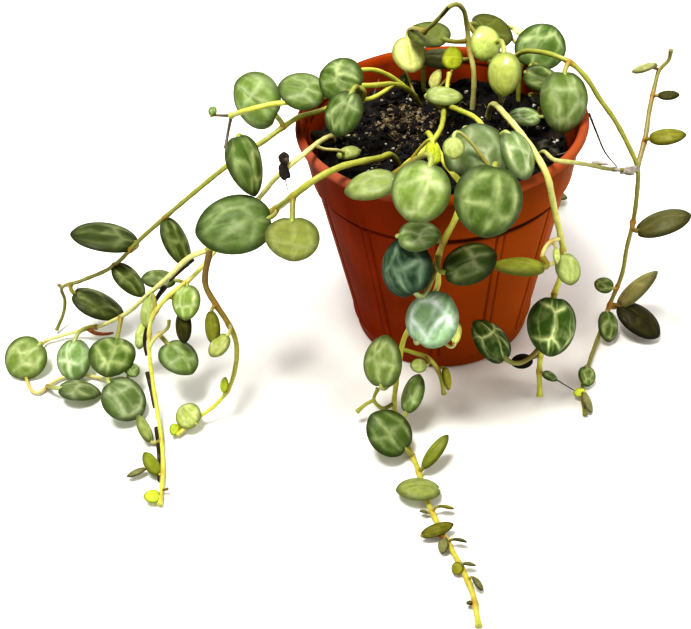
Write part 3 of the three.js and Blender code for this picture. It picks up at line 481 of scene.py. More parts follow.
# The right strand arches over the rim, hangs in the air beside the pot and lies forward along the surface.
STRAND_RIGHT = Strand(
    name="strand_right",
    stems=(
        rooted(1.5, 1.2, (Stalk.GREEN, Stalk.OLIVE), (15.5, 20.5), (16, 17.5, 60), (18.3, 12, 66),
            (21, 6.5, 69), (24.5, 1.5, 70.5), (28, -0.5, 69.5), (31, -2.4, 67), (34, -3, 62.5),
            (37.4, -4, 58), (40.5, -5.7, 53), (43, -7.7, 48), (43.8, -7.6, 41), (43.9, -7.7, 33),
            (43.5, -7.2, 25), (43.3, -7.2, 17), (41.5, -7.5, 8), (39, -12, 2.5), (35.4, -21.5, 0.9),
            (33, -30, 0.9), (32.7, -38, 0.9)),
        stem(1.6, 1.1, (Stalk.PARCHED, Stalk.OLIVE), (43, -7.7, 48), (45.2, -1.5, 52), (46.2, 3, 55),
            (48, 9, 59), (49, 11.4, 61), (50.8, 12, 63), (51, 12, 65.5)),
        stem(0.8, 0.7, (Stalk.DRY, Stalk.DRY), (49, 11.4, 61), (47, 11.5, 61.8), (45, 11, 62.2)),
        rooted(1.3, 1.1, (Stalk.CREAM, Stalk.OLIVE), (20.5, -9.5), (21.3, -17, 58.5), (23, -24, 61),
            (26, -24, 60.5), (30, -20.5, 57.5), (35, -15.5, 53), (42.5, -8.2, 47.5)),
    ),
    leaves=(
        leaf(26.5, -6.5, 64.1, 12.8, 12, 34, 30, -19, Tone.FRESH, shade=0.8),
        leaf(49.3, -11.5, 36, 12, 7.5, -71, 68, 164, Tone.KHAKI, marked=0.5),
        leaf(39.4, -7, 13.5, 4.6, 4, -20, 60, -99, Tone.MATURE, shade=0.95),
        leaf(47.7, -4, 10, 12.5, 6.5, -93, 49, -158, Tone.OLIVE, shade=1.3),
        leaf(48.6, -10, 5, 12, 8.5, 41, 68, 13, Tone.BRONZE, shade=0.9),
        leaf(41, -12, 4.5, 7.6, 5.6, 36, 43, -22, Tone.MATURE, shade=0.85),
        leaf(34.2, -27.7, 3, 4.8, 4.4, 31, 50, -22, Tone.MATURE, shade=1.2),
        leaf(32, -32, 2, 2.8, 2.4, -38, 70, -56, Tone.LIME, shade=1.25),
        leaf(33.6, -35.4, 2, 5, 3, 72, 45, -39, Tone.OLIVE),
        leaf(45.4, 10.8, 62.2, 5.4, 2.6, -80, 70, -10, Tone.OLIVE, shade=1.7),
        leaf(50.2, 5, 58.5, 4.6, 2.8, -36, 74, 115, Tone.GOLDEN, shade=0.22),
        leaf(49, -4.5, 54, 7.6, 4.6, -48, 72, 129, Tone.GOLDEN, shade=0.75),
    ),
    slender=0.76,
    ripened=0.95,
)

# An arched shoot at the back whose end leaves hang over the back left of the soil.
SHOOT_ARCHED = Strand(
    name="shoot_arched",
    stems=(
        rooted(1.5, 1.1, (Stalk.CREAM, Stalk.OLIVE), (7.5, 12.5), (7.8, 12.5, 58), (7.6, 13, 62),
            (6.6, 15.5, 66), (6.2, 16.5, 70), (5.3, 15.3, 75), (3.8, 14, 77), (2.2, 13, 77), (0.4, 13, 75),
            (-1.5, 14, 72.5), (-3.5, 16.5, 69.5)),
    ),
    leaves=(
        leaf(-2.5, 21, 66, 10.2, 9, 177, -80, 120, Tone.MOSSY, shade=0.75),
        leaf(-7, 20, 62.5, 9, 8, 20, 52, -7, Tone.CREAMY),
        leaf(0.5, 22.5, 60, 10, 7, 32, 76, -118, Tone.OLIVE),
    ),
)

# A shoot at the back right with plump pale new leaves.
SHOOT_PALE = Strand(
    name="shoot_pale",
    stems=(
        rooted(1.4, 1.1, (Stalk.CREAM, Stalk.CREAM), (14.5, 16), (13.3, 14, 58), (12, 12.5, 64),
            (11, 13.5, 67)),
    ),
    leaves=(
        leaf(11.6, 21, 66.6, 10.3, 9.2, -132, -58, -40, Tone.MOSSY, shade=0.6),
        leaf(10.2, 8, 70.5, 7.5, 7, 20, 30, -178, Tone.GLASSY, shade=1.35, plump=1.6),
        leaf(13.2, -1.5, 68.3, 9.2, 7.6, -30, 28, 15, Tone.GLASSY, shade=0.95, plump=1.6),
    ),
)

# A shoot beside it with broad green older leaves.
SHOOT_GREEN = Strand(
    name="shoot_green",
    stems=(
        rooted(1.5, 1.2, (Stalk.CREAM, Stalk.CREAM), (22.5, 8), (23.5, 9, 57), (24, 10.5, 61)),
    ),
    leaves=(
        leaf(23.1, 17.5, 64.8, 11.8, 11.4, 2, 56, 149, Tone.MATURE, shade=1.1),
        leaf(22.8, 9, 61.2, 8.4, 6.4, 9, 55, 61, Tone.MATURE, shade=0.8),
        # Painted shade: this leaf is darkened nearly to black where it lies in a dark gap.
        leaf(22, 5.5, 57.5, 4.4, 2.8, 64, 60, 10, Tone.BRONZE, shade=0.3),
        leaf(18.8, 2, 55.8, 7.5, 5.5, 24, 72, -110, Tone.SILVER, shade=1.4),
        leaf(19.5, 27, 63.5, 5, 3, 79, 66, -5, Tone.PALE, shade=2.6),
    ),
)

# Two strands that fall over the back of the pot.
STRAND_BACK_LEFT = Strand(
    name="strand_back_left",
    stems=(
        rooted(1.4, 1, (Stalk.GREEN, Stalk.LIME), (-4, 23.5), (-4.3, 27, 59.5), (-5, 31.5, 62),
            (-6, 36, 59.5), (-7, 37, 47), (-7.5, 36.5, 33), (-8, 36, 18), (-10, 38.5, 6), (-15, 45, 1.2),
            (-21, 52, 0.9), (-24, 59, 0.9)),
    ),
    leaves=(
        leaf(-10.5, 39.5, 48, 9, 8.5, -160, 30, 20, Tone.MATURE),
        leaf(-3, 40.5, 39, 10, 9, 165, 30, -25, Tone.DARK),
        leaf(-4, 40, 19.5, 8.5, 7.5, 160, 40, -30, Tone.MATURE),
        leaf(-13, 49, 3, 8, 7, 170, 65, -20, Tone.MATURE),
        leaf(-21.5, 46.5, 3, 7, 6, -120, 70, 40, Tone.FRESH),
        leaf(-19, 56.5, 2.4, 5.5, 5, 150, 70, -30, Tone.PALE),
        leaf(-23.5, 61.5, 1.8, 3.5, 3, 180, 65, 0, Tone.LIME),
    ),
)

STRAND_BACK_RIGHT = Strand(
    name="strand_back_right",
    stems=(
        rooted(1.4, 1, (Stalk.GREEN, Stalk.LIME), (18.5, 17), (18.8, 19.5, 58), (20.5, 24.5, 61),
            (22.5, 28, 60.5), (23.5, 30, 55.5), (24, 31, 46), (24, 31, 33), (24.5, 31.5, 19), (25.5, 35, 7),
            (28, 41.5, 1.2), (29, 49, 0.9), (27, 56, 0.9)),
    ),
    leaves=(
        leaf(28.5, 33.5, 47, 9, 8.5, 145, 30, -20, Tone.DARK),
        leaf(20.5, 36, 38.5, 9.5, 9, -170, 32, 25, Tone.MATURE),
        leaf(20.5, 37, 18, 8.5, 7.5, -165, 40, 25, Tone.MATURE),
        leaf(24.5, 45, 3, 7, 6, -160, 66, 25, Tone.FRESH),
        leaf(33.3, 46.5, 3, 7, 6, 120, 70, -40, Tone.MATURE),
        leaf(31.5, 54.5, 2, 4.6, 4, 130, 70, -35, Tone.PALE),
        leaf(26.4, 58.6, 1.8, 3.4, 3, 180, 65, 0, Tone.LIME),
    ),
)

STRANDS = (
    STRAND_LEFT_LONG, STRAND_LEFT_THICK, STRAND_LEFT_THIN, SPRAY_LEFT, CLUSTER_FRONT, STRAND_FRONT,
    STRAND_FRONT_RIGHT, STRAND_RIGHT, SHOOT_ARCHED, SHOOT_PALE, SHOOT_GREEN, STRAND_BACK_LEFT,
    STRAND_BACK_RIGHT,
)


def only(piece: Object) -> None:
    """Select one object and no other, and make it the active one.

    Args:
        piece: the object.
    """
    bpy.ops.object.select_all(action="DESELECT")
    piece.select_set(True)
    bpy.context.view_layer.objects.active = piece


def added(primitive: Callable[..., set[str]], **settings: object) -> Object:
    """Add a primitive, with nothing else selected.

    Args:
        primitive: the operator that adds it.
        settings: the operator's own settings.

    Returns:
        The new object.
    """
    bpy.ops.object.select_all(action="DESELECT")
    primitive(**settings)
    return bpy.context.object


def joined(pieces: Sequence[Object], name: str) -> Object:
    """Join objects into one.

    Args:
        pieces: the objects, at least one.
        name: the joined object's name.

    Returns:
        The joined object.
    """
    only(pieces[0])
    for piece in pieces:
        piece.select_set(True)
    if len(pieces) > 1:
        bpy.ops.object.join()
    whole = bpy.context.view_layer.objects.active
    whole.name = name
    whole.data.name = name
    return whole


def shown(name: str, data: bpy.types.ID) -> Object:
    """Put something in the scene as an object.

    Args:
        name: the object's name.
        data: its mesh, curve, camera or lamp.

    Returns:
        The new object.
    """
    piece = bpy.data.objects.new(name, data)
    bpy.context.scene.collection.objects.link(piece)
    return piece


def select_where(piece: Object, test: Callable[[Vector], bool]) -> None:
    """In edit mode, select the vertices whose place passes a test, and nothing else.

    Args:
        piece: the object in edit mode.
        test: takes a vertex's place and says whether it is selected.
    """
    shape = bmesh.from_edit_mesh(piece.data)
    for vertex in shape.verts:
        vertex.select = test(vertex.co)
    shape.select_mode = {"VERT"}
    shape.select_flush_mode()
    bmesh.update_edit_mesh(piece.data)


def finished(piece: Object, materials: Iterable[Material]) -> Object:
    """Bring a piece from millimetres to metres, dress it and let it ride on the plant's body.

    Args:
        piece: the object, modelled in millimetres where it lies.
        materials: its finishes, in the order of its faces' indices.

    Returns:
        The same object.
    """
    only(piece)
    bpy.ops.object.mode_set(mode="EDIT")
    bpy.ops.mesh.select_all(action="SELECT")
    bpy.ops.transform.resize(value=(MM, MM, MM), center_override=(0, 0, 0))
    bpy.ops.object.mode_set(mode="OBJECT")
    bpy.ops.object.shade_smooth_by_angle(angle=math.radians(SMOOTH_ANGLE))
    piece.data.materials.clear()
    for material in materials:
        piece.data.materials.append(material)
    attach(piece, BODY)
    log.info("%s: %d faces", piece.name, len(piece.data.polygons))
    return piece


def turned(name: str, profile: Sequence[Pair], segments: int) -> Object:
    """Model a closed turned shape by extruding one ring after another.

    Args:
        name: the object's name.
        profile: radius and height of each ring, from the middle of the underside round to the inside.
        segments: how many sides a ring has.

    Returns:
        The object, closed at both ends of its profile.
    """
    (radius, height), *rest = profile
    piece = added(bpy.ops.mesh.primitive_circle_add, vertices=segments, radius=radius, fill_type="TRIFAN",
                  location=(0, 0, height))
    bpy.ops.object.transform_apply(location=True)
    bpy.ops.object.mode_set(mode="EDIT")
    select_where(piece, lambda place: place.xy.length > radius / 2)
    for next_radius, next_height in rest:
        grow = next_radius / radius
        bpy.ops.mesh.extrude_edges_move(TRANSFORM_OT_translate={"value": (0, 0, next_height - height)})
        bpy.ops.transform.resize(value=(grow, grow, 1), center_override=(0, 0, next_height))
        radius, height = next_radius, next_height
    bpy.ops.mesh.extrude_edges_move()
    bpy.ops.mesh.merge(type="CENTER")
    bpy.ops.mesh.select_all(action="SELECT")
    bpy.ops.mesh.normals_make_consistent(inside=False)
    bpy.ops.object.mode_set(mode="OBJECT")
    piece.name = name
    piece.data.name = name
    return piece


def arc(middle: Pair, radius: float, start: float, end: float, steps: int) -> list[Pair]:
    """Points of a profile's round stretch, whose start and end are in degrees up from outwards."""
    angles = [math.radians(start + (end - start) * step / steps) for step in range(steps + 1)]
    return [(middle[0] + radius * math.cos(a), middle[1] + radius * math.sin(a)) for a in angles]


def grown(points: Sequence[Vector], step: float) -> list[Vector]:
    """The line that a stem grows along: a centripetal Catmull-Rom curve through its points.

    Args:
        points: the points that it grows through.
        step: about how far apart the line's own points are.

    Returns:
        The line's points, both ends included.
    """
    ends = [2 * points[0] - points[1], *points, 2 * points[-1] - points[-2]]
    line = []
    for before, start, end, after in zip(ends, ends[1:], ends[2:], ends[3:]):
        first, middle, last = (max(1e-3, (b - a).length) ** 0.5
                               for a, b in ((before, start), (start, end), (end, after)))
        leaving = ((start - before) / first - (end - before) / (first + middle)
                   + (end - start) / middle) * middle
        arriving = ((end - start) / middle - (after - start) / (middle + last)
                    + (after - end) / last) * middle
        parts = max(1, round((end - start).length / step))
        for part in range(parts):
            t = part / parts
            line.append(start * (2 * t**3 - 3 * t**2 + 1) + leaving * (t**3 - 2 * t**2 + t)
                        + end * (3 * t**2 - 2 * t**3) + arriving * (t**3 - t**2))
    return [*line, points[-1]]


def tube(name: str, lines: Sequence[Sequence[Vector]], radii: Sequence[Sequence[float]],
         sides: int) -> Object:
    """Model round tubes along lines.

    Args:
        name: the object's name.
        lines: the points of each tube's middle.
        radii: the radius at each of those points.
        sides: 4, or a larger even number.

    Returns:
        One mesh object, with the rings of vertices in the order of the points.
    """
    curve = bpy.data.curves.new(name, "CURVE")
    curve.dimensions = "3D"
    curve.bevel_depth = 1
    curve.bevel_resolution = sides // 2 - 2
    for line, line_radii in zip(lines, radii):
        spline = curve.splines.new("POLY")
        spline.points.add(len(line) - 1)
        for knot, place, radius in zip(spline.points, line, line_radii):
            knot.co = (*place, 1)
            knot.radius = radius
    only(shown(name, curve))
    bpy.ops.object.convert(target="MESH")
    piece = bpy.context.object
    bpy.ops.object.mode_set(mode="EDIT")
    bpy.ops.mesh.select_all(action="SELECT")
    bpy.ops.mesh.fill_holes(sides=0)
    bpy.ops.mesh.normals_make_consistent(inside=False)
    bpy.ops.object.mode_set(mode="OBJECT")
    return piece


def paint(mesh: Mesh, name: str, colours: Sequence[Colour]) -> None:
    """Give each vertex its colour in a named attribute."""
    layer = mesh.attributes.new(name, "FLOAT_COLOR", "POINT")
    layer.data.foreach_set("color", [channel for colour in colours for channel in colour])


def measure(mesh: Mesh, name: str, values: Sequence[float]) -> None:
    """Give each vertex its number in a named attribute."""
    layer = mesh.attributes.new(name, "FLOAT", "POINT")
    layer.data.foreach_set("value", values)


def blended(start: Sequence[float], end: Sequence[float], share: float) -> Colour:
    """A colour part of the way from one to another."""
    return tuple(a + (b - a) * share for a, b in zip(start, end))


@dataclass(frozen=True)
class WaxyLeaf:
    """The cuticle of a peperomia leaf: satin wax over plump cells, with silvery veins between dark fields.

    It gives the eye broad soft highlights, and a net like a turtle's shell that runs from stalk to tip.
    Sizes that don't end in _mm are shares of the blade's half width or half length.
    """

    vein_spacing: float = 0.3
    vein_width: float = 0.13
    cross_width: float = 0.17
    band_width: float = 0.34
    field_across: float = 1.3
    field_along: float = 1.0
    grain_mm: float = 0.35
    mottle_mm: float = 1.6
    roughness: float = 0.42

    def build(self) -> Material:
        """Make the material, which reads the blade's own map and attributes.

        Returns:
            The material.
        """
        material, tree, surface = new_material("waxy_peperomia_leaf")
        add = partial(add_node, tree)
        blade_map = add("UVMap", uv_map="blade")
        place = add("Mapping", {"Vector": blade_map, "Location": (-1, -1, 0), "Scale": (2, 2, 1)})
        cell, vein, under = (
            add("Attribute", attribute_name=name) for name in ("cell", "vein", "under"))
        marking, crisp, seed, upper, sheen = (
            add("Attribute", attribute_name=name).outputs["Fac"]
            for name in ("marking", "crisp", "seed", "upper", "sheen"))
        net, halo = self._net(add, place, seed, crisp)
        patches = add("TexNoise", {
            "Vector": place, "W": seed, "Scale": 1.3, "Detail": 1.0}, noise_dimensions="4D")
        strength = add("MapRange", {
            "Value": patches, "From Min": 0.32, "From Max": 0.62, "To Min": 0.45, "To Max": 1.0})
        marked = add("Math", {0: strength, 1: marking}, operation="MULTIPLY")
        reach = add("VectorMath", {0: place}, operation="LENGTH")
        inner = add("MapRange", {
            "Value": reach, "From Min": 0.7, "From Max": 0.95, "To Min": 1.0, "To Max": 0.3})
        within = add("Math", {0: marked, 1: inner}, operation="MULTIPLY")
        clouds = add("TexNoise", {
            "Vector": place, "W": seed, "Scale": 1.7, "Detail": 2.5, "Roughness": 0.6},
            noise_dimensions="4D")
        bloom = add("MapRange", {"Value": clouds, "From Min": 0.48, "From Max": 0.7, "To Max": 0.36})
        veiled = add("Math", {0: halo, 1: bloom}, operation="ADD")
        silver = add("Math", {0: veiled, 1: within}, operation="MULTIPLY", use_clamp=True)
        faint = add("Math", {0: net, 1: 0.3}, operation="MULTIPLY")
        side = add("MapRange", {"Value": upper, "From Min": 0.3, "From Max": 0.6})
        upper_colour = add("Mix", {"Factor": silver, MIX_A: cell, MIX_B: vein}, data_type="RGBA")
        under_colour = add("Mix", {"Factor": faint, MIX_A: under, MIX_B: vein}, data_type="RGBA")
        skin = add("Mix", {"Factor": side, MIX_A: under_colour, MIX_B: upper_colour}, data_type="RGBA")
        spot = add("TexCoord").outputs["Object"]
        mottle = add("TexNoise", {
            "Vector": spot, "Scale": per_mm(self.mottle_mm), "Detail": 4.0, "Roughness": 0.65})
        light = add("MapRange", {
            "Value": mottle, "From Min": 0.3, "From Max": 0.7, "To Min": 0.82, "To Max": 1.18})
        # Painted shade: the blade darkens towards its rim, as a domed edge would in shadow.
        margin = add("MapRange", {
            "Value": reach, "From Min": 0.72, "From Max": 1.0, "To Min": 1.0, "To Max": 0.45},
            interpolation_type="SMOOTHSTEP")
        depth = add("Math", {0: light, 1: margin}, operation="MULTIPLY")
        final = add("HueSaturation", {"Color": skin, "Value": depth})
        grain = add("TexNoise", {"Vector": spot, "Scale": per_mm(self.grain_mm), "Detail": 2.0})
        gloss = add("MapRange", {
            "Value": mottle, "To Min": self.roughness, "To Max": self.roughness + 0.16})
        sunk = add("Math", {0: net, 1: -1.0}, operation="MULTIPLY")
        relief = add("Math", {0: grain, 1: 0.25, 2: sunk}, operation="MULTIPLY_ADD")
        bump = add("Bump", {"Height": relief, "Strength": 0.6, "Distance": 0.12 * MM})
        feed(tree, surface, {
            "Base Color": final, "Roughness": gloss, "Normal": bump, "Specular IOR Level": 0.2,
            "Coat Weight": sheen, "Coat Roughness": 0.22, "Subsurface Weight": 0.08,
            "Subsurface Radius": (0.5, 0.9, 0.2), "Subsurface Scale": 0.9 * MM})
        return material

    def _net(self, add: Callable[..., Node], place: Node, seed: Socket,
             crisp: Socket) -> tuple[Node, Node]:
        """The veins: long ones that arch from stalk to tip, and cross veins that close the fields.

        Args:
            add: adds a node to the material.
            place: across and along the blade, from -1 to 1.
            seed: a number that differs from leaf to leaf.
            crisp: 1 where the veins are narrow and sharp, 0 where they are soft.

        Returns:
            The narrow veins and the silvery bands round them, both from 0 to 1.
        """
        narrow = add("MapRange", {"Value": crisp, "To Min": 1.0, "To Max": 0.5})
        drift = add("TexNoise", {
            "Vector": place, "W": seed, "Scale": 1.6, "Detail": 1.0}, noise_dimensions="4D")
        centred = add("VectorMath", {0: drift.outputs["Color"], 1: (0.5, 0.5, 0.5)}, operation="SUBTRACT")
        split = add("SeparateXYZ", {"Vector": place}).outputs
        square = add("Math", {0: split["Y"], 1: split["Y"]}, operation="MULTIPLY")
        room = add("Math", {0: VEIN_ARCH, 1: square}, operation="SUBTRACT")
        half = add("Math", {0: room}, operation="SQRT")
        arched = add("Math", {0: split["X"], 1: half}, operation="DIVIDE")
        plain = add("CombineXYZ", {"X": arched, "Y": split["Y"]})
        warped = add("VectorMath", {0: centred, 1: (0.34, 0.3, 0.0), 2: plain}, operation="MULTIPLY_ADD")
        across = add("SeparateXYZ", {"Vector": warped}).outputs["X"]
        nearest = add("Math", {0: across, 1: self.vein_spacing}, operation="PINGPONG")
        offset = add("CombineXYZ", {"X": seed, "Y": seed})
        fields = add("VectorMath", {
            0: warped, 1: (self.field_across, self.field_along, 1.0), 2: offset},
            operation="MULTIPLY_ADD")
        edges = add("TexVoronoi", {"Vector": fields, "Scale": 1.0, "Randomness": 0.85},
                    feature="DISTANCE_TO_EDGE", voronoi_dimensions="2D")
        lines = []
        for distance, width, strength in ((nearest, self.vein_width, 0.65), (edges, self.cross_width, 1.0),
                                          (edges, self.band_width, 0.36)):
            fitted = add("Math", {0: narrow, 1: width}, operation="MULTIPLY")
            lines.append(add("MapRange", {
                "Value": distance, "From Min": 0.0, "From Max": fitted, "To Min": strength,
                "To Max": 0.0}, interpolation_type="SMOOTHSTEP"))
        long_vein, cross_vein, band = lines
        net = add("Math", {0: long_vein, 1: cross_vein}, operation="MAXIMUM")
        halo = add("Math", {0: net, 1: 0.38, 2: band}, operation="MULTIPLY_ADD", use_clamp=True)
        return net, halo


@dataclass(frozen=True)
class FleshyStem:
    """The skin of a creeping stem: smooth and fleshy, streaked along its length, ripened at its joints.

    It gives the eye a soft gloss, and the warm glow of light that goes through thin green tissue.
    """

    streak_mm: float = 1.1
    grain_mm: float = 0.3
    roughness: float = 0.4

    def build(self) -> Material:
        """Make the material, which takes its colour from the stem's own attribute.

        Returns:
            The material.
        """
        material, tree, surface = new_material("fleshy_green_stem")
        add = partial(add_node, tree)
        tint = add("Attribute", attribute_name="tint")
        spot = add("TexCoord").outputs["Object"]
        streak = add("TexNoise", {"Vector": spot, "Scale": per_mm(self.streak_mm), "Detail": 4.0})
        light = add("MapRange", {
            "Value": streak, "From Min": 0.3, "From Max": 0.7, "To Min": 0.86, "To Max": 1.12})
        skin = add("HueSaturation", {"Color": tint, "Value": light})
        grain = add("TexNoise", {"Vector": spot, "Scale": per_mm(self.grain_mm), "Detail": 2.0})
        bump = add("Bump", {"Height": grain, "Strength": 0.4, "Distance": 0.08 * MM})
        feed(tree, surface, {
            "Base Color": skin, "Roughness": self.roughness, "Normal": bump,
            "Subsurface Weight": 0.08, "Subsurface Radius": (0.8, 0.9, 0.2),
            "Subsurface Scale": 0.8 * MM})
        return material


@dataclass(frozen=True)
class MouldedPolypropylene:
    """Terracotta-coloured moulded polypropylene: satin, with faint flow marks and a dusting of peat.

    It gives the eye a dull sheen and an even warm colour. Its right side is painted light: lighter and more
    orange than its left, by its place across. A brighter copy of it is painted light on the inner wall,
    where light comes through.
    """

    name: str
    colour: str
    shade: str
    painted_lit_colour: str
    # Painted shade outside, and the inner wall's stain with painted shade, take this colour.
    shade_and_stain_colour: str = "#1c0a05"
    # The lip's painted highlight takes this salmon colour.
    lip_highlight_colour: str = "#a8624c"
    dusted: str = "#5a3320"
    roughness: float = 0.45
    flow_mm: float = 9.0
    grain_mm: float = 0.25
    speck_mm: float = 0.9
    dust: float = 0.35
    # Where the painted light on the right side starts and where it is full, across the pot.
    painted_shade_side_x: float = -22.0
    painted_lit_side_x: float = 18.0

    def build(self) -> Material:
        """Make the material, which reads its painted shade with the inner wall's stain, and the painted
        highlight on its lip, from its attributes.

        Returns:
            The material.
        """
        material, tree, surface = new_material(self.name)
        add = partial(add_node, tree)
        spot = add("TexCoord").outputs["Object"]
        drawn = add("Mapping", {"Vector": spot, "Scale": (1, 1, 0.35)})
        flow = add("TexNoise", {
            "Vector": drawn, "Scale": per_mm(self.flow_mm), "Detail": 4.0, "Roughness": 0.6})
        share = add("MapRange", {"Value": flow, "From Min": 0.35, "From Max": 0.68})
        # Painted light: the right side is mixed towards a lighter, more orange colour by its place across.
        side = add("SeparateXYZ", {"Vector": spot}).outputs["X"]
        painted_light_share = add("MapRange", {
            "Value": side, "From Min": self.painted_shade_side_x * MM, "From Max": self.painted_lit_side_x * MM},
            interpolation_type="SMOOTHSTEP")
        shade_and_stain, lip_painted_highlight = (add("Attribute", attribute_name=name).outputs["Fac"] for name in ("shade_and_stain", "lip_painted_highlight"))
        speck = add("TexNoise", {
            "Vector": spot, "Scale": per_mm(self.speck_mm), "Detail": 5.0, "Roughness": 0.7})
        dust = add("MapRange", {"Value": speck, "From Min": 0.6, "From Max": 0.72, "To Max": self.dust})
        # Over the flow marks go the painted light of the right side, painted shade with the inner wall's
        # stain, the lip's painted highlight, and dust specks.
        colour = linear(self.shade)
        for factor, layer in ((share, self.colour), (painted_light_share, self.painted_lit_colour), (shade_and_stain, self.shade_and_stain_colour),
                              (lip_painted_highlight, self.lip_highlight_colour), (dust, self.dusted)):
            colour = add("Mix", {"Factor": factor, MIX_A: colour, MIX_B: linear(layer)}, data_type="RGBA")
        gloss = add("MapRange", {
            "Value": speck, "To Min": self.roughness - 0.08, "To Max": self.roughness + 0.14})
        grain = add("TexNoise", {"Vector": spot, "Scale": per_mm(self.grain_mm), "Detail": 2.0})
        bump = add("Bump", {"Height": grain, "Strength": 0.35, "Distance": 0.05 * MM})
        feed(tree, surface, {
            "Base Color": colour, "Roughness": gloss, "Normal": bump, "IOR": 1.49,
            "Specular IOR Level": 0.02})
        return material


@dataclass(frozen=True)
class Granular:
    """Loose or dried matter in three colours, such as damp peat, dry fibre or expanded perlite.

    It gives the eye a rough broken surface with no highlight.
    """

    name: str
    colours: tuple[str, str, str]
    patch_mm: float
    grain_mm: float
    relief_mm: float
    roughness: float
    stops: tuple[float, float, float] = (0.36, 0.52, 0.7)

    def build(self) -> Material:
        """Make the material.

        Returns:
            The material.
        """
        material, tree, surface = new_material(self.name)
        add = partial(add_node, tree)
        spot = add("TexCoord").outputs["Object"]
        patch = add("TexNoise", {
            "Vector": spot, "Scale": per_mm(self.patch_mm), "Detail": 6.0, "Roughness": 0.65})
        ramp = add("ValToRGB", {"Fac": patch})
        ramp.color_ramp.elements.new(self.stops[1])
        for stop, place, colour in zip(ramp.color_ramp.elements, self.stops, self.colours):
            stop.position = place
            stop.color = linear(colour)
        grain = add("TexNoise", {"Vector": spot, "Scale": per_mm(self.grain_mm), "Detail": 4.0})
        bump = add("Bump", {"Height": grain, "Strength": 0.8, "Distance": self.relief_mm * MM})
        feed(tree, surface, {"Base Color": ramp, "Roughness": self.roughness, "Normal": bump})
        return material


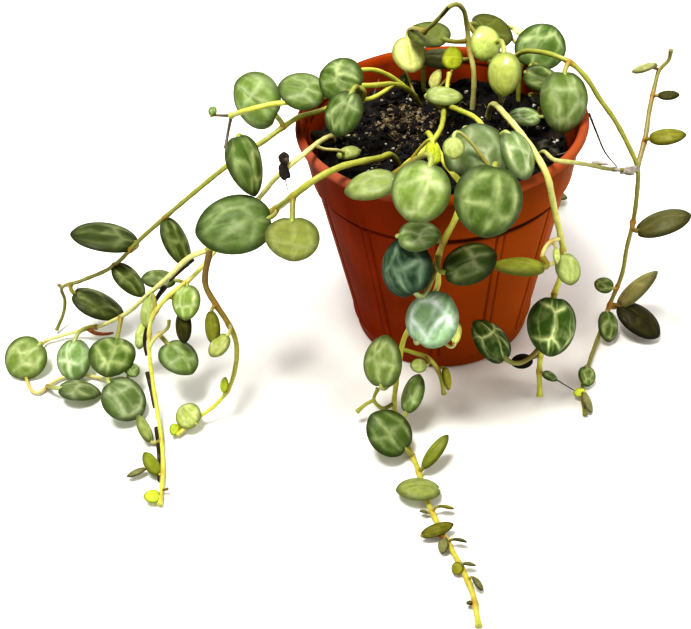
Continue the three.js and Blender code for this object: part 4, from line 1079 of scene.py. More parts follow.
@dataclass
class NurseryPot:
    """The moulded pot: a foot, a tapering panelled body, a collar and a rolled lip round a thin wall.

    A pair of places says where painted shade or the lip's painted highlight starts along one way and where it
    is full.
    """

    rim_radius: float = 32.5
    height: float = 58.0
    wall: float = 1.1
    floor: float = 2.4
    foot_height: float = 4.8
    foot_radius: float = 22.7
    base_radius: float = 21.9
    pad_radius: float = 10.4
    ring_radius: float = 18.0
    recess: float = 1.4
    collar_depth: float = 12.8
    collar_top: float = 31.3
    collar_low: float = 30.0
    body_top: float = 29.2
    lip_radius: float = 1.1
    panels: int = 12
    first_seam: float = -4.0
    panel_dip: float = 0.14
    collar_share: float = 0.6
    groove: float = 0.32
    groove_width: float = 0.22
    rib_half_width: float = 0.9
    seam_spread: tuple[float, ...] = (0, 0.8, 1.35, 1.6, 1.8, 2.0, 2.2, 2.45, 2.8, 3.6, 6.0, 10.0, 15.0)
    # Painted shade beside the ribs, under the collar and in the crease under the lip, weaker on the left, and
    # on the lip's left side.
    rib_painted_shade: float = 0.4
    rib_painted_shade_width: float = 0.24
    collar_painted_shadow: float = 0.8
    crease_painted_shade: float = 0.65
    crease_drop: float = 2.35
    crease_width: float = 0.35
    least_painted_shade: float = 0.15
    painted_shade_x: Pair = (-14.0, 6.0)
    lip_painted_shade: float = 0.6
    lip_painted_shade_x: Pair = (-12.0, -26.0)
    lip_painted_shade_y: Pair = (-15.0, -8.0)
    # Inside, the wall is darkened almost to the rim, partly as peat stain and partly as painted shade, and
    # only up to a lower line in a lighter patch at the back left.
    inner_stain_and_shade: float = 0.93
    inner_darkening_wave: float = 0.9
    inner_darkening_top: float = 56.6
    lighter_patch_top: float = 52.4
    lighter_patch_middle: float = -30.0
    lighter_patch_half: float = 16.0
    # The lip's painted highlight: most at the front left, and less on the right.
    left_lip_highlight: float = 0.85
    left_lip_highlight_x: Pair = (-4.0, -12.0)
    left_lip_highlight_y: Pair = (-8.0, -15.0)
    right_lip_highlight: float = 0.45
    right_lip_highlight_x: Pair = (-4.0, 18.0)
    drain_holes: int = 6
    drain_radius: float = 2.5
    drain_circle: float = 14.2
    drain_sides: int = 32
    segments: int = 288

    @property
    def step(self) -> float:
        """The height of the collar's lower edge."""
        return self.height - self.collar_depth

    def body_radius(self, height: float) -> float:
        """The radius of the tapering body at a height."""
        share = (height - self.foot_height) / (self.step - self.foot_height)
        return self.foot_radius + (self.body_top - self.foot_radius) * share

    def profile(self) -> list[Pair]:
        """Draw the pot's section.

        Returns:
            Its points, from the middle of its underside round to the middle of its floor.
        """
        step = self.step
        lip = (self.rim_radius - self.lip_radius, self.height - self.lip_radius)
        body = [(self.foot_radius + (self.body_top - self.foot_radius) * share,
                 self.foot_height + 0.5 + (step - self.foot_height - 1.6) * share)
                for share in (0, 0.25, 0.5, 0.75, 0.95, 0.98, 1)]
        inner = [(self.collar_top - self.wall - 0.117 * drop, self.height - 1.6 - drop)
                 for drop in (0.6, 1.2, 1.8, 2.4, 3.0, 3.8, 4.8, 6.0)]
        return [
            (self.pad_radius - 0.3, 0), (self.pad_radius, 0.15), (self.pad_radius + 0.5, self.recess),
            (self.ring_radius - 0.5, self.recess), (self.ring_radius, 0.15), (self.ring_radius + 0.3, 0),
            (self.base_radius - 0.6, 0), (self.base_radius - 0.2, 0.15), (self.base_radius, 0.6),
            (self.foot_radius - 0.25, self.foot_height - 0.4),
            (self.foot_radius + 0.1, self.foot_height - 0.1),
            (self.foot_radius + 0.1, self.foot_height + 0.2),
            *body,
            (self.body_top - 0.7, step - 0.45), (self.body_top - 0.7, step + 0.3),
            (self.collar_low - 0.1, step + 0.3), (self.collar_low + 0.05, step + 0.45),
            (self.collar_low + 0.05, step + 0.9),
            (self.collar_top - 0.05, self.height - 2.6), (self.collar_top, self.height - 2.3),
            *arc(lip, self.lip_radius, -65, 130, 12),
            (self.collar_top - self.wall, self.height - 1.6), *inner,
            (self.collar_low - self.wall, step + 0.8),
            (self.body_top - self.wall - self.panel_dip, step - 1),
            (self.foot_radius - self.wall - self.panel_dip, self.foot_height),
            (self.base_radius - self.wall - 0.8, self.floor + 0.3),
            (self.base_radius - self.wall - 1.4, self.floor),
        ]

    def off_seam(self, place: Vector) -> Pair:
        """Find the nearest seam between two panels.

        Args:
            place: a place on the wall.

        Returns:
            The seam's angle and the place's own angle from it, both from the front towards the right.
        """
        pitch = 2 * math.pi / self.panels
        first = math.radians(self.first_seam)
        angle = math.atan2(place.x, -place.y)
        seam = round((angle - first) / pitch) * pitch + first
        return seam, angle - seam

    def gather(self, place: Vector) -> None:
        """Bring the evenly spaced points of a ring closer together along the edges of the ribs.

        Args:
            place: the point, which is moved.
        """
        seam, off = self.off_seam(place)
        even = math.pi / self.panels / (len(self.seam_spread) - 1)
        nearest = min(len(self.seam_spread) - 1, round(abs(off) / even))
        angle = seam + math.copysign(math.radians(self.seam_spread[nearest]), off)
        radius = place.xy.length
        place.x = radius * math.sin(angle)
        place.y = -radius * math.cos(angle)

    def dip(self, place: Vector) -> float:
        """How far the outside lies in: a flat panel between two ribs, with a groove beside each rib.

        Args:
            place: a place on the outside.

        Returns:
            The depth.
        """
        _, angle = self.off_seam(place)
        off = abs(angle) * place.xy.length
        panel = self.panel_dip * smooth_step(self.rib_half_width - 0.1, self.rib_half_width + 0.2, off)
        if place.z > self.step - 0.5:
            shown_from, full_at = self.height - 2.2, self.height - 3.5
            return self.collar_share * panel * smooth_step(shown_from, full_at, place.z)
        groove = self.groove * bell(off - self.rib_half_width, self.groove_width)
        return (panel + groove) * smooth_step(self.foot_height, self.foot_height + 0.6, place.z)

    def shade_and_stain(self, place: Vector) -> float:
        """How much painted shade and stain there is: painted shade beside the ribs, under the collar, in the
        crease under the lip and on the lip's left side, and up the inner wall a darkening that is partly peat
        stain and partly painted shade.

        Args:
            place: a place on the pot.

        Returns:
            From 0, none, to 1.
        """
        radius = place.xy.length
        step = self.step
        if radius > min(self.body_radius(place.z), self.collar_top) - 0.8 or place.z > self.height - 1.2:
            # Outside: painted shadow under the collar, painted shade in the grooves beside the ribs and in
            # the crease under the lip, weaker towards the left, and painted shade on the lip's left side.
            under = smooth_step(step - 1.7, step - 1.0, place.z)
            under *= smooth_step(step + 0.6, step + 0.3, place.z)
            off = abs(self.off_seam(place)[1]) * radius
            beside = self.rib_painted_shade * bell(off - self.rib_half_width, self.rib_painted_shade_width)
            beside *= smooth_step(step + 1, step, place.z) * smooth_step(2, 5, place.z)
            crease = self.crease_painted_shade * bell(place.z - self.height + self.crease_drop, self.crease_width)
            side = self.least_painted_shade + (1 - self.least_painted_shade) * smooth_step(*self.painted_shade_x, place.x)
            lip = self.lip_painted_shade * smooth_step(self.height - 2.6, self.height - 2, place.z)
            lip *= smooth_step(*self.lip_painted_shade_x, place.x) * smooth_step(*self.lip_painted_shade_y, place.y)
            return max(lip, max(self.collar_painted_shadow * under, beside, crease) * side)
        # Inside: darkened up the wall, partly peat stain and partly painted shade, lower in a lighter patch
        # at the back left.
        around = math.degrees(math.atan2(place.x, place.y)) - self.lighter_patch_middle
        lighter_patch = math.exp(-((around / self.lighter_patch_half) ** 4))
        top = self.inner_darkening_top + (self.lighter_patch_top - self.inner_darkening_top) * lighter_patch
        top += self.inner_darkening_wave * noise.noise(place * 0.35)
        return self.inner_stain_and_shade * smooth_step(top + 0.5, top - 1.1, place.z)

    def lip_painted_highlight(self, place: Vector) -> float:
        """How much painted highlight the lip gets: most at the front left, and less on the right.

        Args:
            place: a place on the pot.

        Returns:
            From 0, none, to 1.
        """
        left = self.left_lip_highlight * smooth_step(*self.left_lip_highlight_y, place.y)
        left *= smooth_step(*self.left_lip_highlight_x, place.x)
        right = self.right_lip_highlight * smooth_step(*self.right_lip_highlight_x, place.x)
        return smooth_step(self.height - 1.9, self.height - 0.7, place.z) * max(left, right)

    def build(self, outside: Material, inside: Material) -> Object:
        """Turn the pot, press in its panels and cut its drain holes.

        Args:
            outside: the finish of the outer wall and lip.
            inside: the finish of the inner wall: a brighter copy of the outside, painted light where light
                from outside comes through.

        Returns:
            The pot, in place of its plain solid.
        """
        pot = turned("pot_moulded", self.profile(), self.segments)
        for vertex in pot.data.vertices:
            radius = vertex.co.xy.length
            if radius > 1:
                self.gather(vertex.co)
            height = vertex.co.z
            outer = self.collar_low if height > self.step else self.body_radius(height)
            if height > self.foot_height and radius > outer - 0.4:
                scale = 1 - self.dip(vertex.co) / radius
                vertex.co.x *= scale
                vertex.co.y *= scale
        self._drill(pot)
        # Painted shade with the inner wall's stain, and the lip's painted highlight, are kept on the
        # vertices.
        measure(pot.data, "shade_and_stain", [self.shade_and_stain(vertex.co) for vertex in pot.data.vertices])
        measure(pot.data, "lip_painted_highlight", [self.lip_painted_highlight(vertex.co) for vertex in pot.data.vertices])
        finished(pot, (outside, inside))
        for face in pot.data.polygons:
            middle = face.center
            if face.normal.xy.dot(middle.xy) < -0.2 * middle.xy.length and middle.z > self.floor * MM:
                face.material_index = 1
        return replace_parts(pot, "pot")

    def _drill(self, pot: Object) -> None:
        """Cut the drain holes out of the floor, one Boolean modifier each.

        Args:
            pot: the pot, which is changed.
        """
        for hole in range(self.drain_holes):
            angle = (hole + 0.5) / self.drain_holes * 2 * math.pi
            drill = added(
                bpy.ops.mesh.primitive_cylinder_add, vertices=self.drain_sides, radius=self.drain_radius,
                depth=4 * self.floor,
                location=(self.drain_circle * math.cos(angle), self.drain_circle * math.sin(angle), 0))
            only(pot)
            cut = pot.modifiers.new("drain hole", "BOOLEAN")
            cut.operation = "DIFFERENCE"
            cut.solver = "EXACT"
            cut.object = drill
            bpy.ops.object.modifier_apply(modifier=cut.name)
            bpy.data.objects.remove(drill)


@dataclass
class PeatMix:
    """What fills the pot: a bed of damp peat with crumbs, brown fibres and white perlite grains on it."""

    level: float = 51.0
    wave: float = 0.7
    edge: float = 28.0
    foot: float = 21.0
    segments: int = 180
    rings: int = 70
    lump_relief: float = 1.1
    crumb_relief: float = 0.28
    kinds: int = 5
    crumbs: int = 900
    dry_crumbs: int = 330
    clump: Pair = (-8.0, 8.5)
    clump_spread: float = 5.4
    fibres: int = 110
    grains: int = 34
    large_grains: tuple[Point, ...] = (
        (-7.2, 19.0, 0.55), (6.3, 21.6, 0.5), (25.3, -2.4, 0.6), (26.1, -0.8, 0.5), (26.2, -5.4, 0.55),
        (-8.0, -7.1, 0.6), (-3.7, -1.1, 0.4), (-10.7, -8.2, 0.45), (2.2, 26.0, 0.5), (-12.7, 24.2, 0.55),
    )
    seed: int = 11

    def height(self, x: float, y: float) -> float:
        """The height of the uneven top: broad swells with finer ones across them.

        Args:
            x: a place to the right.
            y: a place to the back.

        Returns:
            The height there.
        """
        swell = math.sin(0.42 * x + 1.3) * math.cos(0.37 * y - 0.6)
        ripple = 0.6 * math.sin(0.9 * x - 0.7 * y) * math.cos(0.8 * y)
        return self.level + self.wave * (swell + ripple)

    def build_bed(self, peat: Material) -> Object:
        """Model the bed, broken up into crumbs by two sizes of noise.

        Args:
            peat: its finish.

        Returns:
            The bed, in place of its plain solid.
        """
        top = [(self.edge * ring / self.rings, self.level) for ring in range(self.rings, 0, -1)]
        profile = [(8, 2.9), (self.foot - 1.2, 2.9), (self.foot, 5.2), (27.6, 44), (self.edge, 48), *top]
        bed = turned("soil_bed", profile, self.segments)
        for vertex in bed.data.vertices:
            x, y, z = vertex.co
            if z < self.level - 0.1:
                continue
            lumps = noise.turbulence(Vector((x, y, 0)) * 0.42, 3, True)
            crumbs = noise.noise(Vector((x, y, 7)) * 1.7)
            vertex.co.z = self.height(x, y) + self.lump_relief * (lumps - 0.55) + self.crumb_relief * crumbs
        finished(bed, (peat,))
        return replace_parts(bed, "soil")

    def lump(self, index: int, roughness: float) -> Mesh:
        """One irregular grain about 2 mm across, modelled once for many copies.

        Args:
            index: which grain, so that each is broken differently.
            roughness: how far its surface departs from round.

        Returns:
            Its mesh.
        """
        grain = added(bpy.ops.mesh.primitive_ico_sphere_add, subdivisions=2, radius=1)
        for vertex in grain.data.vertices:
            push = noise.noise(vertex.co * 1.3 + Vector((index * 5.3, 0, 0)))
            vertex.co *= 1 + roughness * push
        mesh = grain.data
        bpy.data.objects.remove(grain)
        return mesh

    def scattered(self, name: str, places: Iterable[Point], roughness: float,
                  draw: random.Random) -> Object:
        """Copies of a few grains, each turned and squashed its own way.

        Args:
            name: the joined piece's name.
            places: across, along and radius of each grain.
            roughness: how broken the grains are.
            draw: the seeded draws.

        Returns:
            All the grains as one object.
        """
        kinds = [self.lump(index, roughness) for index in range(self.kinds)]
        grains = []
        for x, y, radius in places:
            mesh = draw.choice(kinds).copy()
            turn = (Matrix.Rotation(draw.uniform(0, 2 * math.pi), 4, "Z")
                    @ Matrix.Rotation(draw.uniform(0, 3), 4, "X"))
            squash = Matrix.Diagonal(
                (radius, radius * draw.uniform(0.6, 1), radius * draw.uniform(0.5, 0.9), 1))
            lift = Matrix.Translation((x, y, self.height(x, y) + 0.25 * radius))
            mesh.transform(lift @ turn @ squash)
            grains.append(shown(name, mesh))
        return joined(grains, name)

    def spot(self, draw: random.Random, margin: float) -> Pair:
        """A place on the soil, evenly likely everywhere inside a margin.

        Args:
            draw: the seeded draws.
            margin: how far it stays from the edge.

        Returns:
            The place.
        """
        angle = draw.uniform(0, 2 * math.pi)
        distance = (self.edge - margin) * math.sqrt(draw.random())
        return distance * math.cos(angle), distance * math.sin(angle)

    def clump_spot(self, draw: random.Random) -> Iterable[float]:
        """A place in or near the dry clump."""
        return (middle + draw.gauss(0, self.clump_spread) for middle in self.clump)

    def build_crumbs(self, peat: Material) -> Object:
        """Scatter crumbs of peat, many small ones and a few large.

        Args:
            peat: their finish.

        Returns:
            The crumbs.
        """
        draw = random.Random(self.seed)
        places = []
        for _ in range(self.crumbs):
            x, y = self.spot(draw, 1.0)
            places.append((x, y, 0.22 + 0.9 * draw.random() ** 4))
        return finished(self.scattered("soil_crumbs", places, 0.7, draw), (peat,))

    def build_dry_crumbs(self, dry: Material) -> Object:
        """Break up a dry clump of peat and bark, loose round its edge.

        Args:
            dry: its finish.

        Returns:
            The clump's crumbs.
        """
        draw = random.Random(self.seed + 3)
        places = []
        for _ in range(self.dry_crumbs):
            x, y = self.clump_spot(draw)
            if math.hypot(x, y) < self.edge - 1.5:
                places.append((x, y, 0.12 + 0.55 * draw.random() ** 3))
        return finished(self.scattered("soil_dry_crumbs", places, 0.9, draw), (dry,))

    def build_perlite(self, perlite: Material) -> Object:
        """Lay out the white grains: the large ones listed, and small ones all over.

        Args:
            perlite: their finish.

        Returns:
            The grains.
        """
        draw = random.Random(self.seed + 1)
        places = list(self.large_grains)
        for _ in range(self.grains):
            x, y = self.spot(draw, 1.6)
            places.append((x, y, draw.uniform(0.2, 0.5)))
        return finished(self.scattered("soil_perlite", places, 0.45, draw), (perlite,))

    def build_fibres(self, fibre: Material) -> Object:
        """Strew thin brown fibres, thickest in the clump at the left of the middle.

        Args:
            fibre: their finish.

        Returns:
            The fibres.
        """
        draw = random.Random(self.seed + 2)
        lines, radii = [], []
        for index in range(self.fibres):
            x, y = self.spot(draw, 2.5)
            if index % 2:
                x, y = self.clump_spot(draw)
            heading = draw.uniform(0, 2 * math.pi)
            length = draw.uniform(0.8, 3.6)
            points = []
            for _ in range(4):
                lift = self.height(x, y) + draw.uniform(0.3, 1.1)
                points.append(Vector((x, y, lift)))
                heading += draw.gauss(0, 1.0)
                x += length / 3 * math.cos(heading)
                y += length / 3 * math.sin(heading)
            if max(point.xy.length for point in points) > self.edge - 0.5:
                continue
            line = grown(points, 0.5)
            lines.append(line)
            radii.append([draw.uniform(0.04, 0.1)] * len(line))
        return finished(tube("soil_fibres", lines, radii, 4), (fibre,))


@dataclass(frozen=True)
class LeafFrame:
    """The way a leaf lies: across its blade, towards its tip, out of its upper side, and its middle."""

    across: Vector
    tip: Vector
    face: Vector
    centre: Vector


@dataclass
class BladeMaster:
    """One round blade with a small point and a notch at its stalk, modelled once for many copies."""

    segments: int
    rings: int
    flat: float = 0.5
    point: float = 0.035
    point_reach: float = 0.45
    notch: float = 0.07
    notch_reach: float = 0.4

    def build(self) -> Mesh:
        """Flatten a ball, draw out its point, press in its notch and map it.

        Returns:
            The master's mesh, from -1 to 1 across and along.
        """
        blade = added(bpy.ops.mesh.primitive_uv_sphere_add, segments=self.segments, ring_count=self.rings,
                      radius=1)
        self._map(blade.data)
        bpy.ops.object.mode_set(mode="EDIT")
        bpy.ops.mesh.select_all(action="SELECT")
        bpy.ops.transform.resize(value=(1, 1, self.flat), center_override=(0, 0, 0))
        self._pull(blade, Vector((0, 1, 0)), self.point, self.point_reach)
        self._pull(blade, Vector((0, -1, 0)), self.notch, self.notch_reach)
        bpy.ops.object.mode_set(mode="OBJECT")
        mesh = blade.data
        bpy.data.objects.remove(blade)
        return mesh

    def _map(self, mesh: Mesh) -> None:
        """Lay the blade's own map flat over it, and note which side each vertex is on.

        Args:
            mesh: the ball, before it is flattened.
        """
        layer = mesh.uv_layers.active
        layer.name = "blade"
        for loop in mesh.loops:
            x, y, _ = mesh.vertices[loop.vertex_index].co
            layer.data[loop.index].uv = ((x + 1) / 2, (y + 1) / 2)
        measure(mesh, "upper", [0.5 + 0.5 * max(-1.0, min(1.0, 9 * v.co.z)) for v in mesh.vertices])

    def _pull(self, blade: Object, place: Vector, distance: float, reach: float) -> None:
        """Draw the edge at one place towards the tip, with what lies round it.

        Args:
            blade: the blade in edit mode.
            place: the place on the edge.
            distance: how far it is drawn.
            reach: how far round it the rest follows.
        """
        select_where(blade, lambda co: (co - place).length < 0.02)
        bpy.ops.transform.translate(value=(0, distance, 0), use_proportional_edit=True,
                                    proportional_edit_falloff="SMOOTH", proportional_size=reach)


@dataclass
class LeafMaker:
    """Shapes copies of the blade masters into leaves."""

    bulge: float = 0.16
    thinnest: float = 0.55
    thickest: float = 2.1
    thick_edge: float = 0.6
    thin_edge: float = 0.4
    thick_edged: float = 5.0
    cup: float = 0.9
    edge_wave: float = 0.022
    field_width: float = 0.5
    field_rise: float = 0.05
    groove_half_width: float = 0.07
    groove_depth: float = 0.1
    spread: float = 1.02
    large: float = 6.5
    sheen: float = 0.6
    dull: float = 0.03
    edge_room: float = 0.62
    clearance: float = 0.15

    def __post_init__(self) -> None:
        """Model the two masters, a fine one for broad leaves and a light one for small leaves."""
        self.fine = BladeMaster(segments=56, rings=20).build()
        self.light = BladeMaster(segments=24, rings=10).build()

    def frame(self, blade: Leaf) -> LeafFrame:
        """Work out how a leaf lies, lifted where its edge would dip below the surface.

        Args:
            blade: the leaf.

        Returns:
            Its frame.
        """
        around, rise, turned_by = (math.radians(angle) for angle in (blade.round, blade.up, blade.turn))
        face = Vector((math.sin(around) * math.cos(rise), -math.cos(around) * math.cos(rise),
                       math.sin(rise)))
        downhill = (Vector((0, 0, -1)) + face * face.z).normalized()
        tip = downhill * math.cos(turned_by) + face.cross(downhill) * math.sin(turned_by)
        across = tip.cross(face)
        reach = math.hypot(tip.z * blade.length, across.z * blade.width) / 2 + self.edge_room
        x, y, z = blade.centre
        return LeafFrame(across, tip, face, Vector((x, y, max(z, reach + self.clearance))))

    def thickness(self, blade: Leaf) -> Pair:
        """How thick a leaf is in the middle and at its edge."""
        middle = min(self.thickest, max(self.thinnest, self.bulge * blade.length)) * blade.plump
        return middle, self.thick_edge if blade.length > self.thick_edged else self.thin_edge

    def shaped(self, place: Vector, blade: Leaf, phase: float) -> Vector:
        """Where a vertex of the master lies on the leaf.

        Args:
            place: its place on the master, from -1 to 1.
            blade: the leaf.
            phase: where the edge's slow wave starts.

        Returns:
            Its place across, along and out of the blade, in millimetres.
        """
        x, y, z = place
        height = z / BladeMaster.flat
        reach = math.sqrt(max(0.0, 1 - height * height))
        middle, edge = self.thickness(blade)
        half = (edge + (middle - edge) * (1 - reach**2)) / 2 * math.sqrt(max(0.0, 1 - reach**10))
        side = math.copysign(1.0, z) if abs(z) > 1e-6 else 0.0
        if side > 0 and blade.plump <= 1:
            arched = x / math.sqrt(VEIN_ARCH - min(1.0, y * y))
            field = (1 - math.cos(2 * math.pi * arched / self.field_width)) / 2 * (1 - reach**4)
            groove = bell(x, self.groove_half_width) * (1 - reach**2)
            half += self.field_rise * middle * field - self.groove_depth * middle * groove
        sag = self.cup * middle * (x * x + y * y) / 2
        wave = self.edge_wave * blade.width * reach**3 * math.sin(2 * math.atan2(x, y) + phase)
        across = x * blade.width / 2 * (1 - blade.taper * y)
        return Vector((self.spread * across, self.spread * y * blade.length / 2, side * half - sag + wave))

    def build(self, blade: Leaf, draw: random.Random) -> Object:
        """Shape and tint one leaf.

        Args:
            blade: the leaf.
            draw: the seeded draws.

        Returns:
            The leaf as an object, in millimetres, where it grows.
        """
        mesh = (self.fine if blade.length > self.large else self.light).copy()
        frame = self.frame(blade)
        tone = blade.tone
        phase = draw.uniform(0, 2 * math.pi)
        for vertex in mesh.vertices:
            across, along, out = self.shaped(vertex.co, blade, phase)
            vertex.co = frame.centre + frame.across * across + frame.tip * along + frame.face * out
        count = len(mesh.vertices)
        # A leaf's shade is partly its own colour and partly painted light and shade: some leaves that lie in
        # shadow are painted lighter, and some in dark gaps darker.
        shade = blade.shade * draw.uniform(0.95, 1.05)
        warm = draw.uniform(0.96, 1.06)
        for name, colour in (("cell", tone.cell), ("vein", tone.vein), ("under", tone.under)):
            red, green, blue, alpha = linear(colour)
            paint(mesh, name, [(red * shade * warm, green * shade, blue * shade / warm, alpha)] * count)
        for name, value in (("marking", tone.marking * blade.marked), ("crisp", float(tone.marking > 1)),
                            ("seed", draw.uniform(0, 50)),
                            ("sheen", self.sheen if blade.plump > 1 else self.dull)):
            measure(mesh, name, [value] * count)
        return shown("leaf", mesh)


@dataclass
class StrandBuilder:
    """Builds one strand as two pieces: its stems with their leaf stalks, and its leaves."""

    strand: Strand
    maker: LeafMaker
    seed: int
    rim_radius: float = NurseryPot.rim_radius
    soil_level: float = PeatMix.level
    root_depth: float = 7.0
    upright: float = 3.0
    step: float = 0.7
    sides: int = 10
    stalk_sides: int = 8
    stalk_step: float = 0.5
    swelling: float = 0.22
    swelling_reach: float = 0.9
    ripe_reach: float = 1.3
    wobble: float = 0.05
    flare: float = 0.35
    joint_colour: str = "#ac701c"
    stalk_colour: str = "#8f8a34"
    shaded_colour: str = "#4c4a17"
    shading: float = 0.5

    def __post_init__(self) -> None:
        """Work out every stem's line."""
        self.draw = random.Random(self.seed)
        self.lines: list[list[Vector]] = []
        for growth in self.strand.stems:
            self.lines.append(self._line(growth))

    def _line(self, growth: Stem) -> list[Vector]:
        """A stem's line, which is upright in the soil first, or starts inside an earlier stem.

        Args:
            growth: the stem.

        Returns:
            The line's points.
        """
        first, *others = growth.points
        rest = [Vector(point) for point in others]
        if growth.in_soil:
            heights = (-self.root_depth, -self.root_depth / 2, -0.5)
            start = [Vector((first[0], first[1], self.soil_level + height)) for height in heights]
        else:
            start = [self._nearest(Vector(first))]
        return grown([*start, *rest], self.step)

    def _nearest(self, place: Vector) -> Vector:
        """Find the nearest place on the strand's stems so far, outside the soil.

        Args:
            place: where something starts to grow.

        Returns:
            The nearest point of a line.
        """
        clear = self.soil_level + self.upright - 1
        points = [p for line in self.lines for p in line if p.z > clear or p.xy.length > self.rim_radius]
        return min(points, key=lambda p: (p - place).length).copy()

    def _stalk(self, blade: Leaf) -> tuple[list[Vector], list[float]]:
        """Lay out a leaf stalk, from the nearest place on a stem into the notch of the blade.

        Args:
            blade: the leaf.

        Returns:
            The points of its middle, and the radius at each.
        """
        frame = self.maker.frame(blade)
        middle, edge = self.maker.thickness(blade)
        base = frame.centre - frame.tip * (blade.length / 2) - frame.face * (self.maker.cup * middle / 2)
        inside = base + frame.tip * (0.16 * blade.length)
        start = self._nearest(base)
        bend = base - frame.tip * (0.4 * (start - base).length)
        parts = max(5, round((start - inside).length / self.stalk_step))
        thick = min(0.55, 0.035 * blade.length + 0.18)
        line, radii = [], []
        for part in range(parts + 1):
            t = part / parts
            line.append(start * (1 - t) ** 2 + bend * (2 * t * (1 - t)) + inside * t**2)
            radii.append(thick * (1 + 0.5 * (2 * part / parts - 1) ** 4))
        radii[-1] = min(radii[-1], edge * 0.6)
        return line, radii

    def build_stems(self) -> Object:
        """Model the stems, swollen at their joints, and the leaf stalks.

        Returns:
            All of them as one object.
        """
        joints = [self._nearest(self._stalk(blade)[0][0]) for blade in self.strand.leaves]
        pieces = [self._stem(growth, line, joints) for growth, line in zip(self.strand.stems, self.lines)]
        pieces += [self._stalk_piece(blade) for blade in self.strand.leaves]
        return joined(pieces, f"{self.strand.name}_stems")

    def _stem(self, growth: Stem, line: list[Vector], joints: list[Vector]) -> Object:
        """One stem, tapering, swollen and ripened at its joints, and flared at a cut end.

        Args:
            growth: the stem.
            line: the points of its middle.
            joints: where the strand's leaf stalks start.

        Returns:
            The stem, in its colours.
        """
        last = len(line) - 1
        radii, colours = [], []
        start, end = (linear(tone.value) for tone in growth.tones)
        ripe = [self.draw.random() for _ in joints]
        phase = self.draw.uniform(0, 6)
        for index, place in enumerate(line):
            share = index / last
            near = [((place - joint).length, ripened) for joint, ripened in zip(joints, ripe)]
            swell = sum(bell(distance, self.swelling_reach) for distance, _ in near)
            warm = max((bell(distance, self.ripe_reach) * (0.25 + 0.75 * ripened)
                        for distance, ripened in near), default=0)
            radius = self.strand.slender * (growth.thick + (growth.thin - growth.thick) * share) / 2
            wobble = 1 + self.wobble * math.sin(0.9 * index + phase)
            flare = 1 + self.flare * smooth_step(last - 1.6, last, index)
            radii.append(radius * wobble * flare * (1 + self.swelling * min(1.0, swell)))
            tint = blended(start, end, smooth_step(0.1, 0.9, share))
            colours.append(blended(tint, linear(self.joint_colour), self.strand.ripened * warm))
        return self._tinted(tube("stem", [line], [radii], self.sides), colours)

    def _tinted(self, piece: Object, colours: list[Colour]) -> Object:
        """Colour a tube ring by ring, with painted shade: olive where it faces down.

        Args:
            piece: the tube.
            colours: one for each ring of its vertices.

        Returns:
            The same tube.
        """
        ring = len(piece.data.vertices) // len(colours)
        olive = linear(self.shaded_colour)
        tints = []
        for index, vertex in enumerate(piece.data.vertices):
            # Painted shade: the downward-facing side is blended towards dark olive.
            shaded = self.shading * smooth_step(0.25, -0.7, vertex.normal.z)
            tints.append(blended(colours[index // ring], olive, shaded))
        paint(piece.data, "tint", tints)
        return piece

    def _stalk_piece(self, blade: Leaf) -> Object:
        """One leaf stalk, coloured from the stem to the leaf's underside.

        Args:
            blade: the leaf.

        Returns:
            The stalk.
        """
        line, radii = self._stalk(blade)
        near = blended(linear(self.stalk_colour), linear(self.joint_colour), 0.7 * self.strand.ripened**2)
        far = linear(blade.tone.under)
        colours = [blended(near, far, index / (len(line) - 1)) for index in range(len(line))]
        return self._tinted(tube("stalk", [line], [radii], self.stalk_sides), colours)

    def build_leaves(self) -> Object:
        """Model every leaf of the strand as one object."""
        leaves = [self.maker.build(blade, self.draw) for blade in self.strand.leaves]
        return joined(leaves, f"{self.strand.name}_leaves")

    def build(self, leaf_skin: Material, stem_skin: Material) -> None:
        """Build both pieces in place of the strand's plain solid.

        Args:
            leaf_skin: the finish of the leaves.
            stem_skin: the finish of the stems and leaf stalks.
        """
        name = self.strand.name
        for piece, skin in ((self.build_stems(), stem_skin), (self.build_leaves(), leaf_skin)):
            finished(piece, (skin,))
            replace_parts(piece, name)


@dataclass(frozen=True)
class Thread:
    """A dry thread, root or twig: its thickness and the points it lies along."""

    thick: float
    points: tuple[Point, ...]


